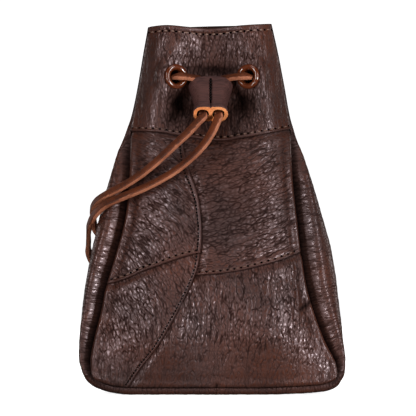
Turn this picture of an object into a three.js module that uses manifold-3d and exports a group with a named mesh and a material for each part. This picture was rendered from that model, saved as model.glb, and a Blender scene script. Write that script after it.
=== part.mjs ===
// A drawstring belt pouch of thick brown leather, standing on its flat base with the mouth up.
// Millimetres, +Z up, the front facing -Y, +X to the right as the front is looked at.
// The front is a patchwork of a yoke and four panels, the sides are two strips that turn under the
// pouch and meet below it, and the back is one panel with a belt loop.
import * as THREE from "three";
import { mergeVertices } from "three/addons/utils/BufferGeometryUtils.js";
import Module from "manifold-3d";

const wasm = await Module();
wasm.setup();

// Driving sizes of the bag
const pouchHeight = 204;
const baseWidth = 146.4;
const baseDepth = 64;
const neckBulge = 14.4; // how far the gathered neck's columns stand out of its side edges
const cinchDepth = 14.5; // how far the drawstring pulls the front's middle in
const backCinchShare = 0.55; // the back is pulled in less than the front
const backDepthShare = 0.94; // the back is flatter than the front
const gussetRoll = 15; // how far the side strips roll out past the panels at most
const gussetFold = 11; // how far the side strips fold in between the front and the back of the neck
const edgeRise = 3.3; // height of the panels' lower edge above the ground
const wall = 1.8;
const pieceGap = 0.3; // clear gap between any two pieces

// Driving sizes of the fittings
const eyeletOuter = 13.5;
const eyeletHole = 7.9;
const eyeletBarrel = 0.55;
const eyeletDome = 1.5;
const eyeletSpacing = 40.1;
const eyeletDrop = 29.4; // from the bag's full height down to the eyelets' centres
const laceWidth = 4.6;
const laceThickness = 2.6;
const sliderLength = 26.3;
const sliderWidth = 19.5;
const sliderThickness = 11;
const sliderWall = 2.2;
const sliderWeb = 2;
const sliderTilt = THREE.MathUtils.degToRad(48);
const sliderAcross = -0.8; // the slider hangs a little left of the middle
const sliderDrop = 3.4; // from the eyelets' centres down to the slider's top
const sliderShoulder = 7; // the top's outer walls are cut down for the laces
const loopWidth = 38;
const loopRoom = 46; // clear height for the belt
const loopStandOff = 8;
const loopTab = 12;
const loopThickness = 2.4;
const loopDrop = 87; // from the bag's full height down to the belt loop's middle

const halfWidth = baseWidth / 2;
const halfDepth = baseDepth / 2;
const eyeletHeight = pouchHeight - eyeletDrop;
const sliderTop = eyeletHeight - sliderDrop;
const loopMiddle = pouchHeight - loopDrop;

const leather = new THREE.MeshStandardMaterial({ color: "#3b2723", roughness: 0.55, metalness: 0 });
const laceLeather = new THREE.MeshStandardMaterial({ color: "#6b3320", roughness: 0.5, metalness: 0 });
const sliderLeather = new THREE.MeshStandardMaterial({ color: "#3b2828", roughness: 0.6, metalness: 0 });
const enamel = new THREE.MeshStandardMaterial({ color: "#6a2f16", roughness: 0.2, metalness: 0.6 });

// The seam between the front and each side strip, from the mouth down the side, round the lower
// corner and along the base. across is a share of halfWidth and up a share of pouchHeight.
// roll and fold are shares of gussetRoll and gussetFold.
const leftSeam = [
  { across: 0.490, up: 0.992, roll: 0.00, fold: 1.00 },
  { across: 0.524, up: 0.922, roll: 0.01, fold: 1.00 },
  { across: 0.564, up: 0.833, roll: 0.02, fold: 0.95 },
  { across: 0.606, up: 0.757, roll: 0.04, fold: 0.80 },
  { across: 0.627, up: 0.709, roll: 0.15, fold: 0.62 },
  { across: 0.641, up: 0.637, roll: 0.41, fold: 0.45 },
  { across: 0.656, up: 0.549, roll: 0.68, fold: 0.36 },
  { across: 0.691, up: 0.458, roll: 0.81, fold: 0.32 },
  { across: 0.754, up: 0.377, roll: 0.75, fold: 0.27 },
  { across: 0.822, up: 0.296, roll: 0.63, fold: 0.23 },
  { across: 0.866, up: 0.216, roll: 0.55, fold: 0.18 },
  { across: 0.921, up: 0.140, roll: 0.38, fold: 0.11 },
  { across: 0.941, up: 0.086, roll: 0.26, fold: 0.05 },
  { across: 0.907, up: 0.042, roll: 0.16, fold: 0 },
  { across: 0.799, up: 0.023, roll: 0.175, fold: 0 },
];
const rightSeam = [
  { across: 0.455, up: 1.001, roll: 0.00, fold: 1.00 },
  { across: 0.503, up: 0.922, roll: 0.01, fold: 1.00 },
  { across: 0.549, up: 0.833, roll: 0.02, fold: 0.95 },
  { across: 0.587, up: 0.757, roll: 0.03, fold: 0.80 },
  { across: 0.608, up: 0.715, roll: 0.09, fold: 0.62 },
  { across: 0.620, up: 0.637, roll: 0.36, fold: 0.45 },
  { across: 0.638, up: 0.559, roll: 0.61, fold: 0.36 },
  { across: 0.668, up: 0.473, roll: 0.79, fold: 0.32 },
  { across: 0.697, up: 0.387, roll: 0.97, fold: 0.27 },
  { across: 0.732, up: 0.299, roll: 1.00, fold: 0.23 },
  { across: 0.792, up: 0.221, roll: 0.84, fold: 0.18 },
  { across: 0.866, up: 0.150, roll: 0.60, fold: 0.11 },
  { across: 0.951, up: 0.088, roll: 0.25, fold: 0.05 },
  { across: 0.945, up: 0.045, roll: 0.15, fold: 0 },
  { across: 0.833, up: 0.023, roll: 0.20, fold: 0 },
];

// Where the strips meet below the bag, and where the curved middle seam reaches the base.
const baseSeamAcross = 0.027;
const seamFootAcross = -0.634;

// How far the front stands out at each height. up is a share of pouchHeight, edge of halfDepth,
// bulge of neckBulge and dent of cinchDepth. power sets how square the bulge is.
const frontForm = [
  { up: 0.00, edge: 0.985, bulge: 0.08, power: 4.0, dent: 0 },
  { up: 0.06, edge: 1.000, bulge: 0.21, power: 3.0, dent: 0 },
  { up: 0.15, edge: 0.985, bulge: 0.44, power: 2.4, dent: 0 },
  { up: 0.30, edge: 0.920, bulge: 0.70, power: 2.2, dent: 0 },
  { up: 0.47, edge: 0.780, bulge: 0.84, power: 2.3, dent: 0 },
  { up: 0.59, edge: 0.595, bulge: 0.97, power: 2.6, dent: 0.05 },
  { up: 0.675, edge: 0.405, bulge: 1.04, power: 3.2, dent: 0.36 },
  { up: 0.735, edge: 0.288, bulge: 1.11, power: 4.0, dent: 0.76 },
  { up: 0.80, edge: 0.188, bulge: 1.07, power: 5.0, dent: 1.00 },
  { up: 0.863, edge: 0.144, bulge: 1.00, power: 5.0, dent: 0.95 },
  { up: 0.93, edge: 0.144, bulge: 0.90, power: 5.0, dent: 0.62 },
  { up: 1.00, edge: 0.156, bulge: 0.76, power: 4.0, dent: 0.30 },
];
const dentReach = 0.76; // share of the half width that the cinch's dent takes

// Hollows beside the slider and a soft knock low on the right. Lengths are shares of halfWidth,
// up of pouchHeight and deep of cinchDepth.
const hollows = [
  { across: -0.235, up: 0.788, reach: 0.085, deep: 0.22 },
  { across: 0.225, up: 0.788, reach: 0.085, deep: 0.20 },
  { across: 0.700, up: 0.245, reach: 0.120, deep: 0.12 },
  { across: -0.330, up: 0.690, reach: 0.120, deep: 0.10 },
];

// Seams of the patchwork, left to right or top to bottom, in shares of halfWidth and pouchHeight.
const mouthEdge = [
  { across: -0.342, up: 0.996 },
  { across: -0.164, up: 0.990 },
  { across: 0.000, up: 0.987 },
  { across: 0.227, up: 0.995 },
];
const yokeEdgeLeft = [
  { across: -0.433, up: 0.706 },
  { across: -0.299, up: 0.699 },
];
const yokeEdgeRight = [
  { across: -0.055, up: 0.687 },
  { across: 0.085, up: 0.683 },
  { across: 0.199, up: 0.689 },
  { across: 0.314, up: 0.695 },
  { across: 0.448, up: 0.704 },
];
const middleSeam = [
  { across: -0.225, up: 0.695 },
  { across: -0.193, up: 0.615 },
  { across: -0.097, up: 0.512 },
  { across: -0.078, up: 0.443 },
  { across: -0.087, up: 0.380 },
  { across: -0.119, up: 0.321 },
  { across: -0.232, up: 0.235 },
  { across: -0.395, up: 0.134 },
];
const lowerSeamLeft = [
  { across: -0.663, up: 0.310 },
  { across: -0.510, up: 0.334 },
  { across: -0.376, up: 0.351 },
  { across: -0.205, up: 0.372 },
];
const lowerSeamRight = [
  { across: 0.085, up: 0.326 },
  { across: 0.238, up: 0.335 },
  { across: 0.392, up: 0.349 },
  { across: 0.525, up: 0.363 },
];

// How many rows each stretch of a strip has, and the table rows between which it runs.
const leftStretches = [
  { from: 0, to: 4, rows: 11 },
  { from: 4, to: 9, rows: 8 },
  { from: 9, to: 13, rows: 9 },
  { from: 13, to: 15, rows: 6 },
  { from: 15, to: 17, rows: 5 },
];
const rightStretches = [
  { from: 0, to: 4, rows: 11 },
  { from: 4, to: 8, rows: 9 },
  { from: 8, to: 13, rows: 8 },
  { from: 13, to: 16, rows: 6 },
];
const middleStretches = [
  { from: 0, to: 4, rows: 8 },
  { from: 4, to: 5, rows: 1 },
  { from: 5, to: 8, rows: 8 },
];
const leftColumns = 6;
const rightColumns = 11;

// The free tails' centre lines, chosen by hand, from the slider's mouth round the left side and
// down the back.
const leftTailPoints = [
  [-7.2, -33.6, 149.9],
  [-12.6, -36.0, 144.0],
  [-20.5, -36.2, 136.7],
  [-30.0, -34.0, 127.9],
  [-39.4, -30.4, 120.3],
  [-49.5, -25.4, 114.0],
  [-58.0, -20.6, 109.6],
  [-63.6, -14.2, 105.8],
  [-66.1, -6.6, 101.9],
  [-66.0, 1.5, 98.6],
  [-65.8, 9.9, 95.3],
  [-65.0, 18.8, 90.7],
  [-60.0, 27.2, 84.5],
  [-52.4, 30.8, 76.6],
  [-47.0, 33.9, 66.0],
  [-44.0, 35.5, 55.5],
  [-42.3, 36.3, 46.0],
];
const rightTailPoints = [
  [2.6, -33.9, 149.6],
  [-0.1, -36.7, 143.6],
  [-4.4, -37.8, 137.0],
  [-11.4, -37.4, 129.6],
  [-20.5, -35.8, 122.4],
  [-30.0, -34.0, 116.8],
  [-39.4, -31.4, 112.3],
  [-49.5, -27.6, 108.2],
  [-58.4, -23.2, 104.2],
  [-64.4, -16.8, 98.8],
  [-67.6, -8.8, 92.6],
  [-68.4, -0.4, 87.6],
  [-68.6, 8.0, 83.2],
  [-68.9, 17.2, 78.1],
  [-66.4, 26.2, 71.8],
  [-60.8, 31.2, 63.0],
  [-56.4, 33.2, 53.5],
  [-54.6, 34.4, 44.0],
];

// A smooth curve through a table's column at any place between two rows, by row number.
function alongRows(rows, column, at) {
  const row = Math.min(Math.floor(at), rows.length - 2);
  const t = at - row;
  const value = (k) => rows[THREE.MathUtils.clamp(k, 0, rows.length - 1)][column];
  const start = value(row);
  const end = value(row + 1);
  const startSlope = (end - value(row - 1)) / 2;
  const endSlope = (value(row + 2) - start) / 2;
  const a = 2 * start - 2 * end + startSlope + endSlope;
  const b = -3 * start + 3 * end - 2 * startSlope - endSlope;
  return a * t ** 3 + b * t ** 2 + startSlope * t + start;
}

// The same at a given height, for tables whose rows go up or down.
function atHeight(rows, column, up) {
  let row = 0;
  const rising = rows[1].up > rows[0].up;
  while (row < rows.length - 2 && (rising ? rows[row + 1].up < up : rows[row + 1].up > up)) row += 1;
  const t = (up - rows[row].up) / (rows[row + 1].up - rows[row].up);
  return alongRows(rows, column, row + THREE.MathUtils.clamp(t, 0, 1));
}

function smoothStep(value, low, high) {
  const t = THREE.MathUtils.clamp((value - low) / (high - low), 0, 1);
  return t * t * (3 - 2 * t);
}

// Each strip's table goes on along the base to the seam below the bag.
const baseRow = (across) => ({ across, up: edgeRise / pouchHeight, roll: edgeRise / gussetRoll, fold: 0 });
const leftRows = [...leftSeam, baseRow(-seamFootAcross), baseRow(0.3), baseRow(-baseSeamAcross)];
const rightRows = [...rightSeam, baseRow(0.423), baseRow(baseSeamAcross)];
const middleRows = [...middleSeam, { across: seamFootAcross, up: edgeRise / pouchHeight }];
const sideRows = 13; // the rows of a strip's table that lie above its lower corner

// The leather's outer surface as a depth over width and height, without the eyelets' flat seats.
// facing is -1 for the front, which alone has the hollows, and 1 for the flatter back.
function bareDepth(facing, x, z) {
  const up = THREE.MathUtils.clamp(z / pouchHeight, 0, 1);
  const rows = (x < 0 ? leftRows : rightRows).slice(0, sideRows);
  const share = Math.min(Math.abs(x) / (atHeight(rows, "across", up) * halfWidth), 1);
  const form = (column) => atHeight(frontForm, column, up);
  const out = form("bulge") * neckBulge * (1 - share ** form("power")) + form("edge") * halfDepth;
  const dentShare = Math.min(share / dentReach, 1);
  let dent = form("dent") * cinchDepth * 0.5 * (1 + Math.cos(Math.PI * dentShare));
  if (facing > 0) return out * backDepthShare - dent * backCinchShare;
  for (const hollow of hollows) {
    const away = Math.hypot(x - hollow.across * halfWidth, z - hollow.up * pouchHeight);
    dent += hollow.deep * cinchDepth * Math.exp(-((away / (hollow.reach * halfWidth)) ** 2));
  }
  return dent - out;
}

// A point on the front or the back with the slopes there and the outward normal.
function surfacePoint(facing, x, z) {
  const step = 0.5;
  const slopeX = (bareDepth(facing, x + step, z) - bareDepth(facing, x - step, z)) / (2 * step);
  const slopeZ = (bareDepth(facing, x, z + step) - bareDepth(facing, x, z - step)) / (2 * step);
  return {
    position: new THREE.Vector3(x, bareDepth(facing, x, z), z),
    normal: new THREE.Vector3(-slopeX, 1, -slopeZ).normalize().multiplyScalar(facing),
    slopeX,
    slopeZ,
  };
}

const eyeletPlaces = [
  { name: "eyelet_front_left", facing: -1, side: -1 },
  { name: "eyelet_front_right", facing: -1, side: 1 },
  { name: "eyelet_back_left", facing: 1, side: -1 },
  { name: "eyelet_back_right", facing: 1, side: 1 },
].map((place) => ({
  ...place,
  seat: surfacePoint(place.facing, (place.side * eyeletSpacing) / 2, eyeletHeight),
}));

// The same surface, flat round each eyelet that sits on it. The shares are of eyeletOuter.
const seatFlatShare = 0.6;
const seatFadeShare = 1.05;
function withSeats(facing) {
  const seats = eyeletPlaces.filter((place) => place.facing === facing).map((place) => place.seat);
  return (x, z) => {
    let y = bareDepth(facing, x, z);
    for (const { position, slopeX, slopeZ } of seats) {
      const dx = x - position.x;
      const dz = z - position.z;
      const away = Math.hypot(dx * Math.hypot(1, slopeX), dz);
      const flat = 1 - smoothStep(away, eyeletOuter * seatFlatShare, eyeletOuter * seatFadeShare);
      y += (position.y + slopeX * dx + slopeZ * dz - y) * flat;
    }
    return y;
  };
}
const frontDepth = withSeats(-1);
const backDepth = withSeats(1);

// Places along a strip's or a seam's table, stretch by stretch.
function placesAlong(stretches) {
  const places = [stretches[0].from];
  for (const { from, to, rows } of stretches)
    for (let row = 1; row <= rows; row += 1) places.push(from + ((to - from) * row) / rows);
  return places;
}
function flatPoint(rows, side, at) {
  return new THREE.Vector2(
    side * alongRows(rows, "across", at) * halfWidth,
    alongRows(rows, "up", at) * pouchHeight,
  );
}
const leftLine = placesAlong(leftStretches).map((at) => flatPoint(leftRows, -1, at));
const rightLine = placesAlong(rightStretches).map((at) => flatPoint(rightRows, 1, at));
const middleLine = placesAlong(middleStretches).map((at) => flatPoint(middleRows, 1, at));

// Points of a seam from one given end to the other, evenly spaced.
function seamLine(start, rows, end, columns) {
  const between = rows.map((row) => new THREE.Vector3(row.across * halfWidth, row.up * pouchHeight, 0));
  const ends = [start, end].map((point) => new THREE.Vector3(point.x, point.y, 0));
  const curve = new THREE.CatmullRomCurve3([ends[0], ...between, ends[1]], false, "centripetal");
  const points = curve.getSpacedPoints(columns).map((point) => new THREE.Vector2(point.x, point.y));
  points[0] = start;
  points[columns] = end;
  return points;
}

// A patch of flat points filled in between its four border lines.
function patchBetween(top, bottom, left, right) {
  const rows = left.length - 1;
  const columns = top.length - 1;
  const grid = [];
  for (let i = 0; i <= rows; i += 1) {
    const v = i / rows;
    grid.push([]);
    for (let j = 0; j <= columns; j += 1) {
      const u = j / columns;
      const point = new THREE.Vector2();
      point.addScaledVector(top[j], 1 - v).addScaledVector(bottom[j], v);
      point.addScaledVector(left[i], 1 - u).addScaledVector(right[i], u);
      point.addScaledVector(top[0], -(1 - u) * (1 - v)).addScaledVector(top[columns], -u * (1 - v));
      point.addScaledVector(bottom[0], -(1 - u) * v).addScaledVector(bottom[columns], -u * v);
      grid[i].push(point);
    }
  }
  return grid;
}
function onSurface(grid, depth) {
  return grid.map((row) => row.map((point) => new THREE.Vector3(point.x, depth(point.x, point.y), point.y)));
}

// Where the stretches of the lines begin.
const yokeRows = leftStretches[0].rows;
const leftUpperEnd = yokeRows + leftStretches[1].rows;
const rightUpperEnd = yokeRows + rightStretches[1].rows;
const cornerRow = leftUpperEnd + leftStretches[2].rows;
const leftFootEnd = cornerRow + leftStretches[3].rows;
const leftJunction = middleStretches[0].rows;
const rightJunction = leftJunction + middleStretches[1].rows;

const yokeLeft = seamLine(leftLine[yokeRows], yokeEdgeLeft, middleLine[0], leftColumns);
const yokeRight = seamLine(middleLine[0], yokeEdgeRight, rightLine[yokeRows], rightColumns);
const mouthLine = seamLine(leftLine[0], mouthEdge, rightLine[0], leftColumns + rightColumns);
const lowerLeft = seamLine(leftLine[leftUpperEnd], lowerSeamLeft, middleLine[leftJunction], leftColumns);
const lowerRightEnd = rightLine[rightUpperEnd];
const lowerRight = seamLine(middleLine[rightJunction], lowerSeamRight, lowerRightEnd, rightColumns);
const footLeft = leftLine.slice(cornerRow, leftFootEnd + 1);
const footRight = [...leftLine.slice(leftFootEnd), ...rightLine.slice(cornerRow, -1).reverse()];
const backMouth = seamLine(leftLine[0], [], rightLine[0], leftColumns + rightColumns);

// A side strip: rows down the seam, columns from the front seam round to the back seam.
const cornerSteps = 3;
const middleSteps = 4;
const nearRows = 0.05; // how far before and after a place the seam's direction is taken
const leastCorner = 1.25; // of the wall
const mostCorner = 0.3; // of the strip's whole depth
const foldSharpness = 1.2;
function stripGrid(rows, side, stretches) {
  return placesAlong(stretches).map((at) => {
    const seam = flatPoint(rows, side, at);
    const last = rows.length - 1;
    const before = flatPoint(rows, side, Math.max(at - nearRows, 0));
    const after = flatPoint(rows, side, Math.min(at + nearRows, last));
    const along = at === last ? new THREE.Vector2(-side, 0) : after.sub(before).normalize();
    const outward = new THREE.Vector2(along.y, -along.x).multiplyScalar(-side);
    const roll = Math.max(alongRows(rows, "roll", at), 0) * gussetRoll;
    const fold = Math.max(alongRows(rows, "fold", at), 0) * gussetFold;
    const front = frontDepth(seam.x, seam.y);
    const back = backDepth(seam.x, seam.y);
    const corner = THREE.MathUtils.clamp(roll, wall * leastCorner, mostCorner * (back - front));
    const place = (out, y) =>
      new THREE.Vector3(seam.x + outward.x * out, y, Math.max(seam.y + outward.y * out, 0));
    const round = Math.min(roll / corner, 1);
    const cornerPoint = (share) => ({
      out: roll * Math.sin((Math.PI / 2) * share),
      in: corner * THREE.MathUtils.lerp(share, 1 - Math.cos((Math.PI / 2) * share), round),
    });
    const points = [];
    for (let k = 0; k < cornerSteps; k += 1) {
      const at = cornerPoint(k / cornerSteps);
      points.push(place(at.out, front + at.in));
    }
    for (let k = 0; k <= middleSteps; k += 1) {
      const share = k / middleSteps;
      const dip = fold * Math.sin(Math.PI * share) ** foldSharpness;
      points.push(place(roll - dip, front + corner + (back - front - 2 * corner) * share));
    }
    for (let k = cornerSteps - 1; k >= 0; k -= 1) {
      const at = cornerPoint(k / cornerSteps);
      points.push(place(at.out, back - at.in));
    }
    return points;
  });
}

// The outer sheets of the bag. Their rows and columns meet point for point along every seam.
const sheets = {
  front_yoke: onSurface(
    patchBetween(
      mouthLine,
      [...yokeLeft, ...yokeRight.slice(1)],
      leftLine.slice(0, yokeRows + 1),
      rightLine.slice(0, yokeRows + 1),
    ),
    frontDepth,
  ),
  front_upper_left: onSurface(
    patchBetween(
      yokeLeft,
      lowerLeft,
      leftLine.slice(yokeRows, leftUpperEnd + 1),
      middleLine.slice(0, leftJunction + 1),
    ),
    frontDepth,
  ),
  front_upper_right: onSurface(
    patchBetween(
      yokeRight,
      lowerRight,
      middleLine.slice(0, rightJunction + 1),
      rightLine.slice(yokeRows, rightUpperEnd + 1),
    ),
    frontDepth,
  ),
  front_lower_left: onSurface(
    patchBetween(
      lowerLeft,
      footLeft,
      leftLine.slice(leftUpperEnd, cornerRow + 1),
      middleLine.slice(leftJunction),
    ),
    frontDepth,
  ),
  front_lower_right: onSurface(
    patchBetween(
      lowerRight,
      footRight,
      middleLine.slice(rightJunction),
      rightLine.slice(rightUpperEnd, cornerRow + 1),
    ),
    frontDepth,
  ),
  back_panel: onSurface(
    patchBetween(
      backMouth,
      [...footLeft, ...footRight.slice(1)],
      leftLine.slice(0, cornerRow + 1),
      rightLine.slice(0, cornerRow + 1),
    ),
    backDepth,
  ),
  gusset_left: stripGrid(leftRows, -1, leftStretches),
  gusset_right: stripGrid(rightRows, 1, rightStretches),
};
const outwardSign = { back_panel: -1, gusset_left: -1 };

// Unit normals of a grid of points.
function gridNormals(grid, sign) {
  const rows = grid.length - 1;
  const columns = grid[0].length - 1;
  return grid.map((row, i) =>
    row.map((point, j) => {
      const above = grid[Math.max(i - 1, 0)][j];
      const down = new THREE.Vector3().subVectors(grid[Math.min(i + 1, rows)][j], above);
      const before = row[Math.max(j - 1, 0)];
      const across = new THREE.Vector3().subVectors(row[Math.min(j + 1, columns)], before);
      return down.cross(across).normalize().multiplyScalar(sign);
    }),
  );
}

// Where sheets meet, all of them share one mitre, so that their walls don't cross.
const placeKey = (point) => [point.x, point.y, point.z].map((value) => value.toFixed(2)).join(" ");
const normals = {};
const meetings = new Map();
for (const [name, grid] of Object.entries(sheets)) {
  normals[name] = gridNormals(grid, outwardSign[name] ?? 1);
  grid.forEach((row, i) =>
    row.forEach((point, j) => {
      const key = placeKey(point);
      const meeting = meetings.get(key) ?? { sum: new THREE.Vector3(), count: 0 };
      meeting.sum.add(normals[name][i][j]);
      meeting.count += 1;
      meetings.set(key, meeting);
    }),
  );
}

// A closed wall between two grids of points, with its rim.
function closedWall(outer, inner) {
  const rows = outer.length;
  const columns = outer[0].length;
  const positions = [...outer.flat(), ...inner.flat()].flatMap((point) => [point.x, point.y, point.z]);
  const outerAt = (i, j) => i * columns + j;
  const innerAt = (i, j) => rows * columns + i * columns + j;
  const faces = [];
  const quad = (a, b, c, d) => faces.push(a, b, c, a, c, d);
  for (let i = 0; i < rows - 1; i += 1)
    for (let j = 0; j < columns - 1; j += 1) {
      quad(outerAt(i, j), outerAt(i + 1, j), outerAt(i + 1, j + 1), outerAt(i, j + 1));
      quad(innerAt(i, j), innerAt(i, j + 1), innerAt(i + 1, j + 1), innerAt(i + 1, j));
    }
  for (let i = 0; i < rows - 1; i += 1) {
    quad(innerAt(i, 0), innerAt(i + 1, 0), outerAt(i + 1, 0), outerAt(i, 0));
    const last = columns - 1;
    quad(outerAt(i, last), outerAt(i + 1, last), innerAt(i + 1, last), innerAt(i, last));
  }
  for (let j = 0; j < columns - 1; j += 1) {
    quad(outerAt(0, j), outerAt(0, j + 1), innerAt(0, j + 1), innerAt(0, j));
    quad(innerAt(rows - 1, j), innerAt(rows - 1, j + 1), outerAt(rows - 1, j + 1), outerAt(rows - 1, j));
  }
  const geometry = new THREE.BufferGeometry();
  geometry.setAttribute("position", new THREE.Float32BufferAttribute(positions, 3));
  geometry.setIndex(faces);
  return facingOut(geometry);
}

// Turns a closed geometry's faces outwards if they point in.
function facingOut(geometry) {
  const position = geometry.getAttribute("position");
  const index = geometry.index.array;
  const corner = [new THREE.Vector3(), new THREE.Vector3(), new THREE.Vector3()];
  let volume = 0;
  for (let k = 0; k < index.length; k += 3) {
    corner.forEach((point, n) => point.fromBufferAttribute(position, index[k + n]));
    volume += corner[0].dot(corner[1].clone().cross(corner[2]));
  }
  if (volume < 0) {
    for (let k = 0; k < index.length; k += 3) {
      [index[k + 1], index[k + 2]] = [index[k + 2], index[k + 1]];
    }
  }
  geometry.computeVertexNormals();
  return geometry;
}

// One sheet of the bag as a wall, drawn back from its neighbours by a little over half a gap.
const seamDrawBack = pieceGap * 0.55;
const leastMitre = 0.7; // keeps the wall's inner corner near a sharp mitre
const sewnAtTheTop = ["front_upper_left", "front_upper_right", "front_lower_left", "front_lower_right"];
function sheetWall(name) {
  const grid = sheets[name];
  const rows = grid.length - 1;
  const columns = grid[0].length - 1;
  const outer = [];
  const inner = [];
  grid.forEach((row, i) => {
    outer.push([]);
    inner.push([]);
    row.forEach((point, j) => {
      const own = normals[name][i][j];
      const meeting = meetings.get(placeKey(point));
      const mitre = meeting.sum.clone().normalize();
      const reach = wall / Math.max(mitre.dot(own), leastMitre);
      const start = point.clone();
      if (meeting.count > 1) {
        const drawBack = (neighbour) =>
          start.addScaledVector(new THREE.Vector3().subVectors(neighbour, point).normalize(), seamDrawBack);
        if (j === 0) drawBack(row[1]);
        if (j === columns) drawBack(row[columns - 1]);
        if (i === 0 && sewnAtTheTop.includes(name)) drawBack(grid[1][j]);
        if (i === rows) drawBack(grid[rows - 1][j]);
      }
      outer[i].push(start);
      inner[i].push(start.clone().addScaledVector(mitre, -reach));
    });
  });
  return closedWall(outer, inner);
}

function solidOf(geometry) {
  const bare = new THREE.BufferGeometry();
  bare.setAttribute("position", geometry.getAttribute("position").clone());
  if (geometry.index) bare.setIndex(geometry.index.clone());
  const merged = mergeVertices(bare, 1e-4);
  return new wasm.Manifold(
    new wasm.Mesh({
      numProp: 3,
      vertProperties: new Float32Array(merged.getAttribute("position").array),
      triVerts: new Uint32Array(merged.index.array),
    }),
  );
}
function geometryOf(solid) {
  const mesh = solid.getMesh();
  const geometry = new THREE.BufferGeometry();
  geometry.setAttribute("position", new THREE.Float32BufferAttribute(Array.from(mesh.vertProperties), 3));
  geometry.setIndex(Array.from(mesh.triVerts));
  geometry.computeVertexNormals();
  return geometry;
}

// A closed ring or disc turned about +Y, from its profile of [radius, height] pairs.
function turned(profile, sides) {
  return new THREE.LatheGeometry(
    profile.map(([radius, height]) => new THREE.Vector2(radius, height)),
    sides,
  );
}
function placedOn(geometry, seat) {
  const turn = new THREE.Quaternion().setFromUnitVectors(new THREE.Vector3(0, 1, 0), seat.normal);
  return geometry.applyQuaternion(turn).translate(seat.position.x, seat.position.y, seat.position.z);
}

// The eyelet: a domed ring outside, a barrel through the leather and a flatter ring inside.
const eyeletSides = 12;
const holeRadius = eyeletHole / 2;
const ringRadius = eyeletOuter / 2;
const backRingRadius = ringRadius * 0.86;
const backRing = { thick: 0.7, crown: 1.2, curl: 0.9, crownReach: 0.6 }; // depths past the leather's inside
const frontRing = { edgeReach: 0.35, edgeRise: 0.65, crown: 0.8, lipReach: 0.5, lipRise: 0.75 };
function eyeletGeometry() {
  const barrelRadius = holeRadius + eyeletBarrel;
  const under = pieceGap / 2;
  const inside = -wall - pieceGap;
  return turned(
    [
      [holeRadius, inside - backRing.curl],
      [holeRadius + backRing.crownReach, inside - backRing.crown],
      [backRingRadius, inside - backRing.thick],
      [backRingRadius, inside],
      [barrelRadius, inside],
      [barrelRadius, under],
      [ringRadius, under],
      [ringRadius - frontRing.edgeReach, under + eyeletDome * frontRing.edgeRise],
      [ringRadius * frontRing.crown, under + eyeletDome],
      [holeRadius + frontRing.lipReach, under + eyeletDome * frontRing.lipRise],
      [holeRadius, under],
      [holeRadius, inside - backRing.curl],
    ],
    eyeletSides,
  );
}

// What an eyelet takes out of the leather: its barrel's hole, and room for both rings.
function eyeletRoom(seat) {
  const reach = 4;
  const barrelRoom = holeRadius + eyeletBarrel + pieceGap;
  const profile = [
    [0, -reach],
    [backRingRadius + pieceGap, -reach],
    [backRingRadius + pieceGap, -wall],
    [barrelRoom, -wall],
    [barrelRoom, -pieceGap / 2],
    [ringRadius + pieceGap, -pieceGap / 2],
    [ringRadius + pieceGap, reach],
    [0, reach],
  ];
  return solidOf(placedOn(turned(profile, eyeletSides), seat));
}

const pouch = new THREE.Group();
function addPiece(name, geometry, material) {
  const mesh = new THREE.Mesh(geometry, material);
  mesh.name = name;
  pouch.add(mesh);
}

// The bag's leather, with holes for the eyelets in the yoke and the back.
for (const name of Object.keys(sheets)) {
  const facing = { front_yoke: -1, back_panel: 1 }[name];
  let geometry = sheetWall(name);
  if (facing) {
    let leatherSolid = solidOf(geometry);
    for (const place of eyeletPlaces.filter((one) => one.facing === facing))
      leatherSolid = leatherSolid.subtract(eyeletRoom(place.seat));
    geometry = geometryOf(leatherSolid);
  }
  addPiece(name, geometry, leather);
}
for (const place of eyeletPlaces) addPiece(place.name, placedOn(eyeletGeometry(), place.seat), enamel);

// The slider: a leather sleeve with two channels that leans out of the cinched middle.
const sliderForm = [
  { along: 0.0, width: 1.25 },
  { along: 0.3, width: 1.09 },
  { along: 0.6, width: 0.96 },
  { along: 0.85, width: 0.94 },
  { along: 1.0, width: 1.0 },
];
const sliderDown = new THREE.Vector3(0, -Math.sin(sliderTilt), -Math.cos(sliderTilt));
const sliderFront = new THREE.Vector3(0, -Math.cos(sliderTilt), Math.sin(sliderTilt));
const restHeight = sliderTop - (sliderThickness / 2) * Math.sin(sliderTilt);
const sliderRest = pieceGap * 3; // the tilted sleeve's corner clears the leather's folds
const sliderBack = frontDepth(sliderAcross, restHeight) - sliderRest;
const sliderOrigin = new THREE.Vector3(
  sliderAcross,
  sliderBack - (sliderThickness / 2) * Math.cos(sliderTilt),
  sliderTop,
);
function sliderWidthAt(along) {
  let row = 0;
  while (row < sliderForm.length - 2 && sliderForm[row + 1].along < along) row += 1;
  const { along: low } = sliderForm[row];
  const { along: high } = sliderForm[row + 1];
  return alongRows(sliderForm, "width", row + THREE.MathUtils.clamp((along - low) / (high - low), 0, 1));
}
function roundedOutline(target, centre, width, height, radius) {
  const [left, right] = [centre - width / 2 + radius, centre + width / 2 - radius];
  const [bottom, top] = [-height / 2 + radius, height / 2 - radius];
  target.moveTo(right, -height / 2);
  target.absarc(right, bottom, radius, -Math.PI / 2, 0);
  target.absarc(right, top, radius, 0, Math.PI / 2);
  target.absarc(left, top, radius, Math.PI / 2, Math.PI);
  target.absarc(left, bottom, radius, Math.PI, 1.5 * Math.PI);
  target.closePath();
  return target;
}
const channelWidth = (sliderWidth - 2 * sliderWall - sliderWeb) / 2;
const channelHeight = sliderThickness - 2 * sliderWall;
const channelCentre = (sliderWeb + channelWidth) / 2;
const sliderCornerShare = 0.42;
const channelCornerShare = 0.25;
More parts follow.
